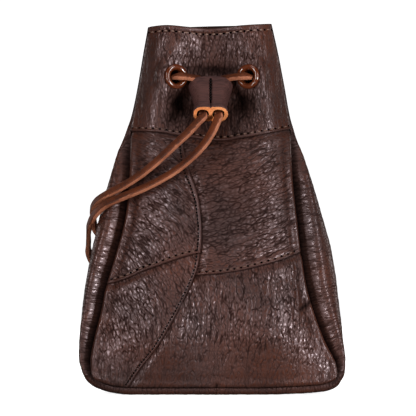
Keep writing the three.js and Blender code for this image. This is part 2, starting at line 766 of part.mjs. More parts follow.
function sliderGeometry() {
  const corner = sliderThickness * sliderCornerShare;
  const outline = roundedOutline(new THREE.Shape(), 0, sliderWidth, sliderThickness, corner);
  for (const side of [-1, 1])
    outline.holes.push(
      roundedOutline(
        new THREE.Path(),
        side * channelCentre,
        channelWidth,
        channelHeight,
        channelHeight * channelCornerShare,
      ),
    );
  const geometry = new THREE.ExtrudeGeometry(outline, {
    depth: sliderLength,
    steps: 3,
    bevelEnabled: false,
    curveSegments: 3,
  });
  const position = geometry.getAttribute("position");
  for (let k = 0; k < position.count; k += 1) {
    const x = position.getX(k);
    const along = position.getZ(k) / sliderLength;
    position.setX(k, x * sliderWidthAt(along));
    position.setZ(k, position.getZ(k) + (1 - along) * sliderShoulder * ((2 * x) / sliderWidth) ** 2);
  }
  const place = new THREE.Matrix4().makeBasis(new THREE.Vector3(1, 0, 0), sliderFront, sliderDown);
  geometry.applyMatrix4(place.setPosition(sliderOrigin));
  return geometry;
}
addPiece("cord_slider", sliderGeometry(), sliderLeather);

// A point in one of the slider's channels, down its length and off its middle plane.
function channelPoint(side, along, off) {
  const width = sliderWidthAt(THREE.MathUtils.clamp(along, 0, 1));
  return sliderOrigin
    .clone()
    .addScaledVector(sliderDown, along * sliderLength)
    .addScaledVector(sliderFront, off)
    .add(new THREE.Vector3(side * channelCentre * width, 0, 0));
}

// A flat lace along a route, with an eight-sided section.
function laceGeometry(points, steps) {
  const [w, t] = [laceWidth / 2, laceThickness / 2];
  const cut = 0.3; // of each half side
  const corners = [
    [w, t - cut * t], [w - cut * w, t], [cut * w - w, t], [-w, t - cut * t],
    [-w, cut * t - t], [cut * w - w, -t], [w - cut * w, -t], [w, cut * t - t],
  ];
  const section = new THREE.Shape(corners.map(([x, y]) => new THREE.Vector2(x, y)));
  const path = new THREE.CatmullRomCurve3(points, false, "centripetal");
  return new THREE.ExtrudeGeometry(section, { steps, bevelEnabled: false, extrudePath: path });
}

// The held run of the drawstring: out of the slider's channels, through the front eyelets, inside
// the neck, out of the back eyelets and straight across the back.
const laceOff = -(channelHeight / 2 - laceWidth / 2 - pieceGap);
const [seatFrontLeft, seatFrontRight, seatBackLeft, seatBackRight] = eyeletPlaces.map((place) => place.seat);
function offSeat(seat, away) {
  return seat.position.clone().addScaledVector(seat.normal, away);
}
const laceClearOutside = 1.2;
const laceClearInside = 1.6;
const laceClearNeck = 1.2;
function halfRun(side, front, back) {
  const outside = laceThickness + laceClearOutside;
  const inside = -wall - laceThickness - laceClearInside;
  const top = channelPoint(side, -0.06, 0.6);
  const entry = offSeat(front, outside);
  const bend = top.clone().lerp(entry, 0.5).add(new THREE.Vector3(0, -0.9, 0.5));
  const innerMiddle = offSeat(front, inside).lerp(offSeat(back, inside), 0.5);
  innerMiddle.x += side * laceClearNeck;
  return [
    channelPoint(side, 1, laceOff),
    channelPoint(side, 0.6, laceOff),
    channelPoint(side, 0.22, laceOff * 0.5),
    top,
    bend,
    entry,
    offSeat(front, inside),
    innerMiddle,
    offSeat(back, inside),
    offSeat(back, outside),
  ];
}
const offBack = laceThickness + 1;
const backMiddle = offSeat(seatBackLeft, offBack).lerp(offSeat(seatBackRight, offBack), 0.5);
const neckRoute = [
  ...halfRun(-1, seatFrontLeft, seatBackLeft),
  backMiddle,
  ...halfRun(1, seatFrontRight, seatBackRight).reverse(),
];
addPiece("drawstring_neck", laceGeometry(neckRoute, 42), laceLeather);

// The two free tails start face to face with the held run at the slider's mouth.
function tailRoute(side, points) {
  const start = channelPoint(side, 1, laceOff).addScaledVector(sliderDown, pieceGap * 1.5);
  const straight = start.clone().addScaledVector(sliderDown, laceThickness);
  return [start, straight, ...points.map((point) => new THREE.Vector3(...point))];
}
addPiece("drawstring_tail_left", laceGeometry(tailRoute(-1, leftTailPoints), 30), laceLeather);
addPiece("drawstring_tail_right", laceGeometry(tailRoute(1, rightTailPoints), 32), laceLeather);

// The belt loop: a strap whose two ends lie on the back and whose middle stands off it.
function beltLoopGeometry() {
  const ramp = loopStandOff * 1.2;
  const sewnEdge = 1; // the tabs lie flat from here on
  const low = loopMiddle - loopRoom / 2;
  const high = loopMiddle + loopRoom / 2;
  const heights = [
    low - loopTab, low - loopTab / 2, low - sewnEdge, low + ramp * 0.3, low + ramp * 0.7, low + ramp,
    high - ramp, high - ramp * 0.7, high - ramp * 0.3, high + sewnEdge, high + loopTab / 2, high + loopTab,
  ];
  const clear = pieceGap * 1.5;
  const columns = 4;
  const flatLow = backDepth(0, low + ramp) + clear + loopStandOff;
  const flatHigh = backDepth(0, high - ramp) + clear + loopStandOff;
  const inner = heights.map((z) => {
    const rise = smoothStep(z, low - sewnEdge, low + ramp);
    const lift = rise * (1 - smoothStep(z, high - ramp, high + sewnEdge));
    const flat = THREE.MathUtils.mapLinear(z, low + ramp, high - ramp, flatLow, flatHigh);
    return Array.from({ length: columns + 1 }, (_, k) => {
      const x = loopWidth * (k / columns - 0.5);
      return new THREE.Vector3(x, THREE.MathUtils.lerp(backDepth(x, z) + clear, flat, lift), z);
    });
  });
  const away = gridNormals(inner, 1);
  const outer = inner.map((row, i) =>
    row.map((point, j) => point.clone().addScaledVector(away[i][j], loopThickness)),
  );
  return closedWall(outer, inner);
}
addPiece("belt_loop", beltLoopGeometry(), leather);

// The origin is the middle of the bag's footprint at the ground. The free tails don't count.
const box = new THREE.Box3();
for (const mesh of pouch.children) {
  mesh.geometry.computeBoundingBox();
  if (!mesh.name.startsWith("drawstring_tail")) box.union(mesh.geometry.boundingBox);
}
const middle = box.getCenter(new THREE.Vector3());
for (const mesh of pouch.children) mesh.geometry.translate(-middle.x, -middle.y, -box.min.z);

export default pouch;
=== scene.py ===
# Dresses the belt pouch: pebbled leather panels, rolled side strips, laces, slider, eyelets and thread.
import math

import bmesh
import bpy
import numpy as np
from mathutils import Matrix, Vector, noise
from mathutils.bvhtree import BVHTree


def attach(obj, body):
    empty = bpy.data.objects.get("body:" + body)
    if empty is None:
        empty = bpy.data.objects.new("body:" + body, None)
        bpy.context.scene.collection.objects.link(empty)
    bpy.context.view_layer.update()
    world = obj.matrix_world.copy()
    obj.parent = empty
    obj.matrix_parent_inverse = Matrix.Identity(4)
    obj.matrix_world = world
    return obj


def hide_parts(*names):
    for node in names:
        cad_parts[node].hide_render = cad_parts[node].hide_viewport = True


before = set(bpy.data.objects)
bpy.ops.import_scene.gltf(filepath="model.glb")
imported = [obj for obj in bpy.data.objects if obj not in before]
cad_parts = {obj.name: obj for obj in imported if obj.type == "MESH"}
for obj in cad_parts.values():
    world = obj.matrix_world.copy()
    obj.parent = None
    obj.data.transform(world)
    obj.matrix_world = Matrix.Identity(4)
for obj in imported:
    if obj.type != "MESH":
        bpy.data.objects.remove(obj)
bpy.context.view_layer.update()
mm = 0.001
print("frame loaded")


# Materials

def hexLinear(code):
    # an sRGB hex colour as the linear colour that the shaders take
    parts = [int(code[k:k + 2], 16) / 255 for k in (1, 3, 5)]
    linear = [c / 12.92 if c <= 0.04045 else ((c + 0.055) / 1.055) ** 2.4 for c in parts]
    return (*linear, 1.0)


def addNode(tree, kind, settings=None, stops=(), **links):
    # adds a shader node with its settings, a ramp's stops and what goes into its sockets
    node = tree.nodes.new(kind)
    for key, value in (settings or {}).items():
        setattr(node, key, value)
    for k, (place, colour) in enumerate(stops):
        element = node.color_ramp.elements[k] if k < 2 else node.color_ramp.elements.new(place)
        element.position = place
        element.color = hexLinear(colour) if isinstance(colour, str) else (colour, colour, colour, 1)
    for socket, value in links.items():
        target = node.inputs[int(socket[2:]) if socket.startswith("in") else socket.replace("_", " ")]
        if isinstance(value, bpy.types.NodeSocket):
            tree.links.new(value, target)
        else:
            target.default_value = value
    return node


def newMaterial(name, **constants):
    # a material with what is the same all over it set on the shader's own sockets
    material = bpy.data.materials.new(name)
    material.use_nodes = True
    shader = material.node_tree.nodes["Principled BSDF"]
    for socket, value in constants.items():
        shader.inputs[socket.replace("_", " ")].default_value = value
    return material


def wireShader(material, **results):
    # joins what the nodes work out to the shader's sockets
    tree = material.node_tree
    for socket, value in results.items():
        tree.links.new(value, tree.nodes["Principled BSDF"].inputs[socket.replace("_", " ")])


# Full-grain cowhide, drum-milled to a pebble and aniline dyed: satin pebble tops that catch the softboxes
# as a mauve sheen, nearly black creases between them, their darkness painted shade. The UV map holds
# millimetres across and along them.
def milledLeather(name, hide):
    material = newMaterial(name, IOR=1.5, Specular_Tint=hexLinear(hide["sheenTint"]))
    tree = material.node_tree
    uv = addNode(tree, "ShaderNodeUVMap", {"uv_map": "hide"}).outputs["UV"]
    place = addNode(tree, "ShaderNodeTexCoord").outputs["Object"]
    bent = uv
    for size, reach in ((hide["waviness"], hide["sway"]), (hide["ripple"], hide["rippleSway"])):
        drift = addNode(tree, "ShaderNodeTexNoise", Vector=uv, Scale=1 / size, Detail=1.0).outputs["Color"]
        bent = addNode(tree, "ShaderNodeVectorMath", {"operation": "MULTIPLY_ADD"}, in0=drift,
                       in1=(reach, reach, 0), in2=bent).outputs["Vector"]
    creasePlace, pebblePlace = (
        addNode(tree, "ShaderNodeVectorMath", {"operation": "MULTIPLY"}, in0=bent,
                in1=(1 / across, 1 / along, 0)).outputs["Vector"]
        for across, along in ((hide["creasePitch"], hide["creaseLength"]),
                              (hide["pebble"], hide["pebble"] * hide["pebbleStretch"]))
    )
    wander = addNode(tree, "ShaderNodeTexNoise", {"noise_dimensions": "2D"}, Vector=creasePlace, Scale=1.0,
                     Detail=1.0).outputs["Fac"]
    signed = addNode(tree, "ShaderNodeMath", {"operation": "SUBTRACT"}, in0=wander, in1=0.5).outputs["Value"]
    offLine = addNode(tree, "ShaderNodeMath", {"operation": "ABSOLUTE"}, in0=signed).outputs["Value"]
    offEdge = addNode(
        tree, "ShaderNodeTexVoronoi", {"feature": "DISTANCE_TO_EDGE", "voronoi_dimensions": "2D"},
        Vector=pebblePlace, Scale=1.0, Randomness=1.0,
    ).outputs["Distance"]
    creases, crisp = (
        addNode(tree, "ShaderNodeMapRange", {"interpolation_type": "SMOOTHSTEP"}, Value=value, From_Min=0.0,
                From_Max=edge, To_Min=0.0, To_Max=1.0).outputs["Result"]
        for value, edge in ((offLine, hide["creaseEdge"]), (offEdge, hide["pebbleEdge"]))
    )
    # handling wears the pebbles softer in places
    worn = addNode(tree, "ShaderNodeTexNoise", Vector=uv, Scale=1 / hide["wear"], Detail=1.0).outputs["Fac"]
    softness = addNode(tree, "ShaderNodeMapRange", Value=worn, From_Min=hide["wornFrom"],
                       From_Max=hide["wornTo"], To_Min=0.0, To_Max=hide["wornShare"]).outputs["Result"]
    pebbles = addNode(tree, "ShaderNodeMix", {"data_type": "FLOAT"}, Factor=softness, in2=crisp,
                      in3=1.0).outputs["Result"]
    # hair pores, too fine for the render's pixels, drawn at 0.45 mm so that they still break the sheen
    pores = addNode(tree, "ShaderNodeTexNoise", Vector=uv, Scale=1 / hide["pore"], Detail=2.0).outputs["Fac"]
    depth = 0.0
    for value, rise in ((creases, hide["creaseHeight"]), (pebbles, hide["pebbleHeight"]),
                        (pores, hide["poreHeight"])):
        depth = addNode(tree, "ShaderNodeMath", {"operation": "MULTIPLY_ADD"}, in0=value, in1=rise,
                        in2=depth).outputs["Value"]
    # painted shade in the creases and round each pebble's edge, darkening colour and sheen
    creaseShade, pebbleShade = (
        addNode(tree, "ShaderNodeMapRange", Value=value, From_Min=0.0, From_Max=1.0, To_Min=darkest,
                To_Max=1.0).outputs["Result"]
        for value, darkest in ((creases, hide["creaseShade"]), (pebbles, hide["pebbleShade"]))
    )
    grainShade = addNode(tree, "ShaderNodeMath", {"operation": "MULTIPLY"}, in0=creaseShade,
                        in1=pebbleShade).outputs["Value"]
    # where the hide is stretched smooth, both the relief and the tone even out
    smooth = addNode(tree, "ShaderNodeAttribute", {"attribute_name": "smooth"}).outputs["Fac"]
    height, tone = (
        addNode(tree, "ShaderNodeMix", {"data_type": "FLOAT"}, Factor=smooth, in2=value,
                in3=even).outputs["Result"]
        for value, even in ((depth, hide["creaseHeight"] + hide["pebbleHeight"]),
                            (grainShade, hide["smoothShade"]))
    )
    # painted shade darkens the folds, seams and hollows that the attribute names
    shade = addNode(tree, "ShaderNodeAttribute", {"attribute_name": "shade"}).outputs["Fac"]
    lit = addNode(tree, "ShaderNodeMath", {"operation": "SUBTRACT"}, in0=1.0, in1=shade).outputs["Value"]
    tone = addNode(tree, "ShaderNodeMath", {"operation": "MULTIPLY"}, in0=tone, in1=lit).outputs["Value"]
    patches = addNode(tree, "ShaderNodeTexNoise", Vector=place, Scale=1 / (hide["patch"] * mm),
                      Detail=3.0).outputs["Fac"]
    dye = addNode(tree, "ShaderNodeValToRGB", Fac=patches, stops=[
        (0.3, hide["dark"]), (0.5, hide["colour"]), (0.72, hide["warm"])]).outputs["Color"]
    grey = addNode(tree, "ShaderNodeValToRGB", Fac=tone, stops=[(0.0, 0.0), (1.0, 1.0)]).outputs["Color"]
    colour = addNode(tree, "ShaderNodeMix", {"data_type": "RGBA", "blend_type": "MULTIPLY"}, Factor=1.0,
                     in6=dye, in7=grey).outputs[2]
    gloss = addNode(tree, "ShaderNodeMapRange", Value=tone, From_Min=0.35, From_Max=0.95,
                    To_Min=hide["creaseRoughness"], To_Max=hide["roughness"]).outputs["Result"]
    bump = addNode(tree, "ShaderNodeBump", Height=height, Strength=1.0, Distance=mm).outputs["Normal"]
    # creases and folds lie in their own shadow, so they lose the sheen too
    catch = addNode(tree, "ShaderNodeMath", {"operation": "MULTIPLY"}, in0=tone,
                    in1=hide["sheen"]).outputs["Value"]
    wireShader(material, Base_Color=colour, Specular_IOR_Level=catch, Roughness=gloss, Normal=bump)
    return material


# colours, gloss, then the grain's sizes in millimetres and its painted crease shade as tones from 0 to 1
bodyHide = dict(
    colour="#3c1e13", dark="#2f180f", warm="#4a2516", patch=35.7,
    roughness=0.29, creaseRoughness=0.75, sheen=0.64, sheenTint="#ffeef4",
    pebble=1.8, pebbleStretch=1.6, pebbleEdge=0.46, pebbleHeight=0.1, pebbleShade=0.46,
    creasePitch=3.0, creaseLength=11.0, creaseEdge=0.07, creaseHeight=0.11, creaseShade=0.4,
    waviness=9.0, sway=2.0, ripple=2.4, rippleSway=0.7, pore=0.45, poreHeight=0.008,
    wear=7.0, wornFrom=0.38, wornTo=0.68, wornShare=0.45, smoothShade=0.92,
)
bodyLeather = milledLeather("milled_cowhide", bodyHide)

# The flesh side of the same hide: matt, fibrous and a little lighter.
fleshSide = dict(dark="#33231d", light="#4a342b", fibre=0.714, nap=0.2)
fleshLeather = newMaterial("flesh_side_leather", Roughness=0.95)
tree = fleshLeather.node_tree
fibres = addNode(tree, "ShaderNodeTexNoise", Scale=1 / (fleshSide["fibre"] * mm), Detail=4.0,
                 Vector=addNode(tree, "ShaderNodeTexCoord").outputs["Object"]).outputs["Fac"]
wireShader(
    fleshLeather,
    Base_Color=addNode(tree, "ShaderNodeValToRGB", Fac=fibres, stops=[
        (0.3, fleshSide["dark"]), (0.7, fleshSide["light"])]).outputs["Color"],
    Normal=addNode(tree, "ShaderNodeBump", Height=fibres, Distance=fleshSide["nap"] * mm).outputs["Normal"],
)


# Bridle leather for laces and the slider: close smooth grain, faint pores across it.
def bridleLeather(name, dark, light, roughness, grain=0.9, streak=1.0, bump=0.15, cloud=11.1):
    # streak above 1 draws the grain out sideways
    material = newMaterial(name, IOR=1.5, Specular_IOR_Level=0.25, Roughness=roughness)
    tree = material.node_tree
    place = addNode(tree, "ShaderNodeMapping", Vector=addNode(tree, "ShaderNodeTexCoord").outputs["Object"],
                    Scale=(1 / streak, 1, 1)).outputs["Vector"]
    pores, clouds = (
        addNode(tree, "ShaderNodeTexNoise", Vector=place, Scale=1 / (size * mm), Detail=detail).outputs["Fac"]
        for size, detail in ((grain, 3.0), (cloud, 2.0))
    )
    half = addNode(tree, "ShaderNodeMath", {"operation": "MULTIPLY"}, in0=clouds, in1=0.5).outputs["Value"]
    both = addNode(tree, "ShaderNodeMath", {"operation": "MULTIPLY_ADD"}, in0=pores, in1=0.5,
                   in2=half).outputs["Value"]
    wireShader(
        material,
        Base_Color=addNode(tree, "ShaderNodeValToRGB", Fac=both, stops=[
            (0.38, dark), (0.6, light)]).outputs["Color"],
        Normal=addNode(tree, "ShaderNodeBump", Height=pores, Strength=0.8,
                       Distance=bump * mm).outputs["Normal"],
    )
    return material


laceGrain = bridleLeather("lace_grain_side", "#37170a", "#5c2b13", 0.55)
laceCut = bridleLeather("lace_cut_edge", "#73402a", "#9c6248", 0.75, 0.6)
sliderGrain = bridleLeather("slider_leather", "#2a1716", "#4b2e2a", 0.6, 0.8, 9.0, 0.5)
sliderCut = bridleLeather("slider_cut_edge", "#b8622f", "#df925e", 0.7, 0.7)
sliderLining = bridleLeather("slider_channel", "#1a0d08", "#2c170e", 0.8)

# Baked enamel over a brass eyelet: deep brown, glassy.
eyeletEnamel = newMaterial("baked_enamel", Base_Color=hexLinear("#4e220f"), Roughness=0.12, IOR=1.5,
                           Specular_IOR_Level=0.5, Coat_Weight=0.3, Coat_Roughness=0.05)
# Waxed linen thread, dull, and the painted shade of a needle hole, near black
blackThread = newMaterial("waxed_thread_black", Base_Color=hexLinear("#0d0807"), Roughness=0.7,
                          Specular_IOR_Level=0.08)
bodyThread = newMaterial("waxed_thread_dark", Base_Color=hexLinear("#5a443b"), Roughness=0.6,
                         Specular_IOR_Level=0.15)
hemThread = newMaterial("waxed_thread_brown", Base_Color=hexLinear("#70564a"), Roughness=0.6)
needleHole = newMaterial("needle_hole", Base_Color=hexLinear("#070403"), Roughness=1.0,
                         Specular_IOR_Level=0.0)
print("materials made")


# The bag's form, in millimetres and shares of them, as the solids have it
bag = dict(
    height=204, halfWidth=73.2, halfDepth=32, neckBulge=14.4, cinchDepth=14.5, backCinchShare=0.55,
    backDepthShare=0.94, gussetRoll=15, gussetFold=11, dentReach=0.76, sideRows=13, wall=1.5,
    shiftX=0.061, shiftY=-2.508,
    # up, across, roll, fold
    leftEdge=[
        (0.992, 0.490, 0.00, 1.00), (0.922, 0.524, 0.01, 1.00), (0.833, 0.564, 0.02, 0.95),
        (0.757, 0.606, 0.04, 0.80), (0.709, 0.627, 0.15, 0.62), (0.637, 0.641, 0.41, 0.45),
        (0.549, 0.656, 0.68, 0.36), (0.458, 0.691, 0.81, 0.32), (0.377, 0.754, 0.75, 0.27),
        (0.296, 0.822, 0.63, 0.23), (0.216, 0.866, 0.55, 0.18), (0.140, 0.921, 0.38, 0.11),
        (0.086, 0.941, 0.26, 0.05), (0.042, 0.907, 0.16, 0), (0.023, 0.799, 0.175, 0),
        (0.0162, 0.634, 0.22, 0), (0.0162, 0.3, 0.22, 0), (0.0162, -0.027, 0.22, 0),
    ],
    rightEdge=[
        (1.001, 0.455, 0.00, 1.00), (0.922, 0.503, 0.01, 1.00), (0.833, 0.549, 0.02, 0.95),
        (0.757, 0.587, 0.03, 0.80), (0.715, 0.608, 0.09, 0.62), (0.637, 0.620, 0.36, 0.45),
        (0.559, 0.638, 0.61, 0.36), (0.473, 0.668, 0.79, 0.32), (0.387, 0.697, 0.97, 0.27),
        (0.299, 0.732, 1.00, 0.23), (0.221, 0.792, 0.84, 0.18), (0.150, 0.866, 0.60, 0.11),
        (0.088, 0.951, 0.25, 0.05), (0.045, 0.945, 0.15, 0), (0.023, 0.833, 0.20, 0),
        (0.0162, 0.423, 0.22, 0), (0.0162, 0.027, 0.22, 0),
    ],
    # up, edge, bulge, power, dent
    section=[
        (0.00, 0.985, 0.08, 4.0, 0), (0.06, 1.000, 0.21, 3.0, 0), (0.15, 0.985, 0.44, 2.4, 0),
        (0.30, 0.920, 0.70, 2.2, 0), (0.47, 0.780, 0.84, 2.3, 0), (0.59, 0.595, 0.97, 2.6, 0.05),
        (0.675, 0.405, 1.04, 3.2, 0.36), (0.735, 0.288, 1.11, 4.0, 0.76), (0.80, 0.188, 1.07, 5.0, 1.00),
        (0.863, 0.144, 1.00, 5.0, 0.95), (0.93, 0.144, 0.90, 5.0, 0.62), (1.00, 0.156, 0.76, 4.0, 0.30),
    ],
    # across, up, reach, deep
    hollows=[
        (-0.235, 0.788, 0.085, 0.22), (0.225, 0.788, 0.085, 0.20), (0.700, 0.245, 0.120, 0.12),
        (-0.330, 0.690, 0.120, 0.10),
    ],
    eyeletSpacing=40.1, eyeletHeight=174.6, eyeletOuter=13.5, eyeletCut=4.7, eyeletShade=(4.2, 5.0),
    seatFlat=0.6, seatFade=1.05,
)
leftEdge = np.array(bag["leftEdge"])
rightEdge = np.array(bag["rightEdge"])
section = np.array(bag["section"])


def alongRows(values, at):
    # a smooth curve through a column's values, at any place between two rows
    values = np.asarray(values, float)
    at = np.asarray(at, float)
    row = np.clip(np.floor(at).astype(int), 0, len(values) - 2)
    t = at - row
    t = t.reshape(t.shape + (1,) * (values.ndim - 1))
    value = lambda k: values[np.clip(k, 0, len(values) - 1)]
    start, end = value(row), value(row + 1)
    startSlope = (end - value(row - 1)) / 2
    endSlope = (value(row + 2) - start) / 2
    return ((2 * start - 2 * end + startSlope + endSlope) * t ** 3
            + (3 * end - 3 * start - 2 * startSlope - endSlope) * t ** 2 + startSlope * t + start)


def rowAt(table, up):
    sign = 1 if table[1][0] > table[0][0] else -1
    return np.interp(sign * up, sign * table[:, 0], np.arange(len(table)))


def smoothStep(value, low, high):
    t = np.clip((value - low) / (high - low), 0, 1)
    return t * t * (3 - 2 * t)


def bareDepth(x, z, facing):
    # the leather's outer surface, facing -1 for the front and 1 for the back
    up = np.clip(z / bag["height"], 0, 1)
    edges = [alongRows(table[:bag["sideRows"], 1], rowAt(table[:bag["sideRows"]], up))
             for table in (leftEdge, rightEdge)]
    share = np.minimum(np.abs(x) / (np.where(x < 0, edges[0], edges[1]) * bag["halfWidth"]), 1)
    at = rowAt(section, up)
    edge, bulge, power, dent = (alongRows(section[:, k], at) for k in (1, 2, 3, 4))
    out = bulge * bag["neckBulge"] * (1 - share ** power) + edge * bag["halfDepth"]
    pulled = dent * bag["cinchDepth"] * 0.5 * (1 + np.cos(np.pi * np.minimum(share / bag["dentReach"], 1)))
    if facing > 0:
        return out * bag["backDepthShare"] - pulled * bag["backCinchShare"]
    for across, height, reach, deep in bag["hollows"]:
        away = np.hypot(x - across * bag["halfWidth"], z - height * bag["height"])
        pulled = pulled + deep * bag["cinchDepth"] * np.exp(-((away / (reach * bag["halfWidth"])) ** 2))
    return pulled - out


def seatOf(side, facing):
    # where an eyelet sits: its place, the slopes there and the outward normal
    x, z, step = side * bag["eyeletSpacing"] / 2, bag["eyeletHeight"], 0.5
    slopeX = (bareDepth(x + step, z, facing) - bareDepth(x - step, z, facing)) / (2 * step)
    slopeZ = (bareDepth(x, z + step, facing) - bareDepth(x, z - step, facing)) / (2 * step)
    place = np.array([x, float(bareDepth(x, z, facing)), z])
    normal = facing * np.array([-slopeX, 1, -slopeZ]) / math.sqrt(slopeX ** 2 + slopeZ ** 2 + 1)
    return dict(place=place, slopeX=float(slopeX), slopeZ=float(slopeZ), normal=normal, facing=facing)


seats = {(side, facing): seatOf(side, facing) for side in (-1, 1) for facing in (-1, 1)}


def bagDepth(x, z, facing):
    # the same surface, flat under each eyelet
    y = bareDepth(x, z, facing)
    for seat in seats.values():
        if seat["facing"] != facing:
            continue
        dx, dz = x - seat["place"][0], z - seat["place"][2]
        away = np.hypot(dx * math.hypot(1, seat["slopeX"]), dz)
        flat = 1 - smoothStep(away / bag["eyeletOuter"], bag["seatFlat"], bag["seatFade"])
        y = y + (seat["place"][1] + seat["slopeX"] * dx + seat["slopeZ"] * dz - y) * flat
    return y


# Lines of points

def resampled(line, shares):
    # places along a line of points, by shares of its length in the picture plane
    steps = np.linalg.norm(np.diff(line[:, :2], axis=0), axis=1)
    far = np.concatenate([[0], np.cumsum(steps)])
    return np.stack([np.interp(shares * far[-1], far, line[:, k]) for k in range(line.shape[1])], 1)


def lineLength(line):
    return float(np.linalg.norm(np.diff(line[:, :2], axis=0), axis=1).sum())


def curveThrough(points, steps=40):
    points = np.array(points, float)
    return alongRows(points, np.linspace(0, len(points) - 1, steps * (len(points) - 1) + 1))


def edgeLine(table, side, first, last, steps=60):
    # the seam beside a strip as x, z and the table's row, between two rows
    at = np.linspace(first, last, int(abs(last - first) * steps) + 1)
    return np.stack([side * alongRows(table[:, 1], at) * bag["halfWidth"],
                     alongRows(table[:, 0], at) * bag["height"], at], 1)


def sharesFor(length, step, fine, reach):
    # places from 0 to 1, closer together near both ends
    places = [0.0]
    while places[-1] < length / 2:
        places.append(places[-1] + fine + (step - fine) * min(places[-1] / reach, 1))
    half = np.array(places) / places[-1] / 2
    return np.concatenate([half, 1 - half[-2::-1]])


def patchBetween(top, bottom, left, right, u, v):
    # fills in flat points between four border lines that share their ends
    u, v = u[None, :, None], v[:, None, None]
    grid = top[None] * (1 - v) + bottom[None] * v + left[:, None] * (1 - u) + right[:, None] * u
    return (grid - top[0] * (1 - u) * (1 - v) - top[-1] * u * (1 - v)
            - bottom[0] * (1 - u) * v - bottom[-1] * u * v)


def fitEnds(line, start, end):
    # moves a line's ends to given points and the rest in proportion
    t = np.linspace(0, 1, len(line))[:, None]
    return line + (start - line[0]) * (1 - t) + (end - line[-1]) * t


def runAlong(grid, axis):
    # how far each point of a grid is from its first row or column, over the surface
    steps = np.linalg.norm(np.diff(grid, axis=axis), axis=2)
    return np.concatenate([np.zeros_like(np.take(steps, [0], axis)), np.cumsum(steps, axis)], axis)


def gridNormals(grid):
    down = np.gradient(grid, axis=0)
    across = np.gradient(grid, axis=1)
    normal = np.cross(down, across)
    return normal / np.maximum(np.linalg.norm(normal, axis=2, keepdims=True), 1e-9)


# How deep each seam between a panel and a side strip is drawn in, by the row of the edge's table
seamPull = dict(
    rows=[0, 2, 4, 5, 6, 8, 10, 12, 13, 14, 15, 17],
    depth=[1.0, 1.2, 2.4, 5.0, 7.4, 9.0, 8.4, 7.0, 5.0, 2.6, 1.4, 1.0],
    panelReach=3.4, rollReach=13.0, rollShare=0.4, stripReach=9.0, stripShare=0.3,
    inward=0.5, deep=0.85, panelFull=6, stripFull=9, rowStep=0.05,
)


def seamWay(table, side, row):
    # the direction of a side seam at one row, in the picture plane
    step = seamPull["rowStep"]
    near = edgeLine(table, side, max(row - step, 0), min(row + step, len(table) - 1), 20)
    along = near[-1, :2] - near[0, :2]
    return along / max(np.linalg.norm(along), 1e-9)


def pullAt(table, side, rows, facing):
    # the way a side seam is drawn in: into the bag and a little towards its middle
    pulls = []
    for row in rows:
        along = seamWay(table, side, row)
        inward = np.array([-side * -along[1], 0, -side * along[0]])
        depth = np.interp(row, seamPull["rows"], seamPull["depth"])
        pulls.append(depth * (inward * seamPull["inward"] + np.array([0, -facing * seamPull["deep"], 0])))
    return np.array(pulls)


def drawnShare(rows, full):
    # how far a side seam is drawn in at each row, as a share of a full pull
    return np.interp(rows, seamPull["rows"], seamPull["depth"]) / full


def turnedIn(distance, reach):
    return 1 - np.sqrt(1 - np.clip(1 - distance / reach, 0, 1) ** 2)


def pieceFrom(name, bm, *materials, smooth=True):
    # turns a finished bmesh into an object at the origin; smooth=False leaves its faces as they are
    if smooth:
        for face in bm.faces:
            face.smooth = True
    mesh = bpy.data.meshes.new(name)
    bm.to_mesh(mesh)
    bm.free()
    for material in materials:
        mesh.materials.append(material)
    piece = bpy.data.objects.new(name, mesh)
    bpy.context.scene.collection.objects.link(piece)
    return piece


def sheetFrom(name, grid, uv, smooth, shade, flip=False):
    # a leather sheet: a grid of bmesh points moved to their places
    rows, columns = grid.shape[:2]
    bm = bmesh.new()
    bmesh.ops.create_grid(bm, x_segments=columns - 1, y_segments=rows - 1, size=1)
    for vert, place in zip(bm.verts, (grid * mm).reshape(-1, 3)):
        vert.co = place
    if flip:
        bmesh.ops.reverse_faces(bm, faces=bm.faces)
    piece = pieceFrom(name, bm, bodyLeather, fleshLeather)
    mesh = piece.data
    layer = mesh.uv_layers.new(name="hide")
    index = np.zeros(len(mesh.loops), np.int32)
    mesh.loops.foreach_get("vertex_index", index)
    layer.data.foreach_set("uv", uv.reshape(-1, 2)[index].astype(np.float32).ravel())
    for key, values in (("smooth", smooth), ("shade", shade)):
        layer = mesh.attributes.new(key, "FLOAT", "POINT")
        layer.data.foreach_set("value", np.clip(values, 0, 1).ravel().astype(np.float32))
    return piece


def addBead(bm, place, turn, radii, around=10, upwards=6):
    # a small ellipsoid: one stitch of thread, or one needle hole
    matrix = Matrix.Translation(place) @ turn @ Matrix.Diagonal((*radii, 1))
    bmesh.ops.create_uvsphere(bm, u_segments=around, v_segments=upwards, radius=1, matrix=matrix)


def finishPiece(piece, slot, *nodes):
    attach(piece, "root")
    if nodes:
        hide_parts(*nodes)
    return piece


def addWall(piece, thickness):
    wall = piece.modifiers.new("wall", "SOLIDIFY")
    wall.thickness = thickness * mm
    wall.offset = -1
    wall.material_offset = 1
    wall.material_offset_rim = 0
    return wall


def inFrame(grid):
    # from the form's own middle to the frame's origin
    return grid + np.array([bag["shiftX"], bag["shiftY"], 0])


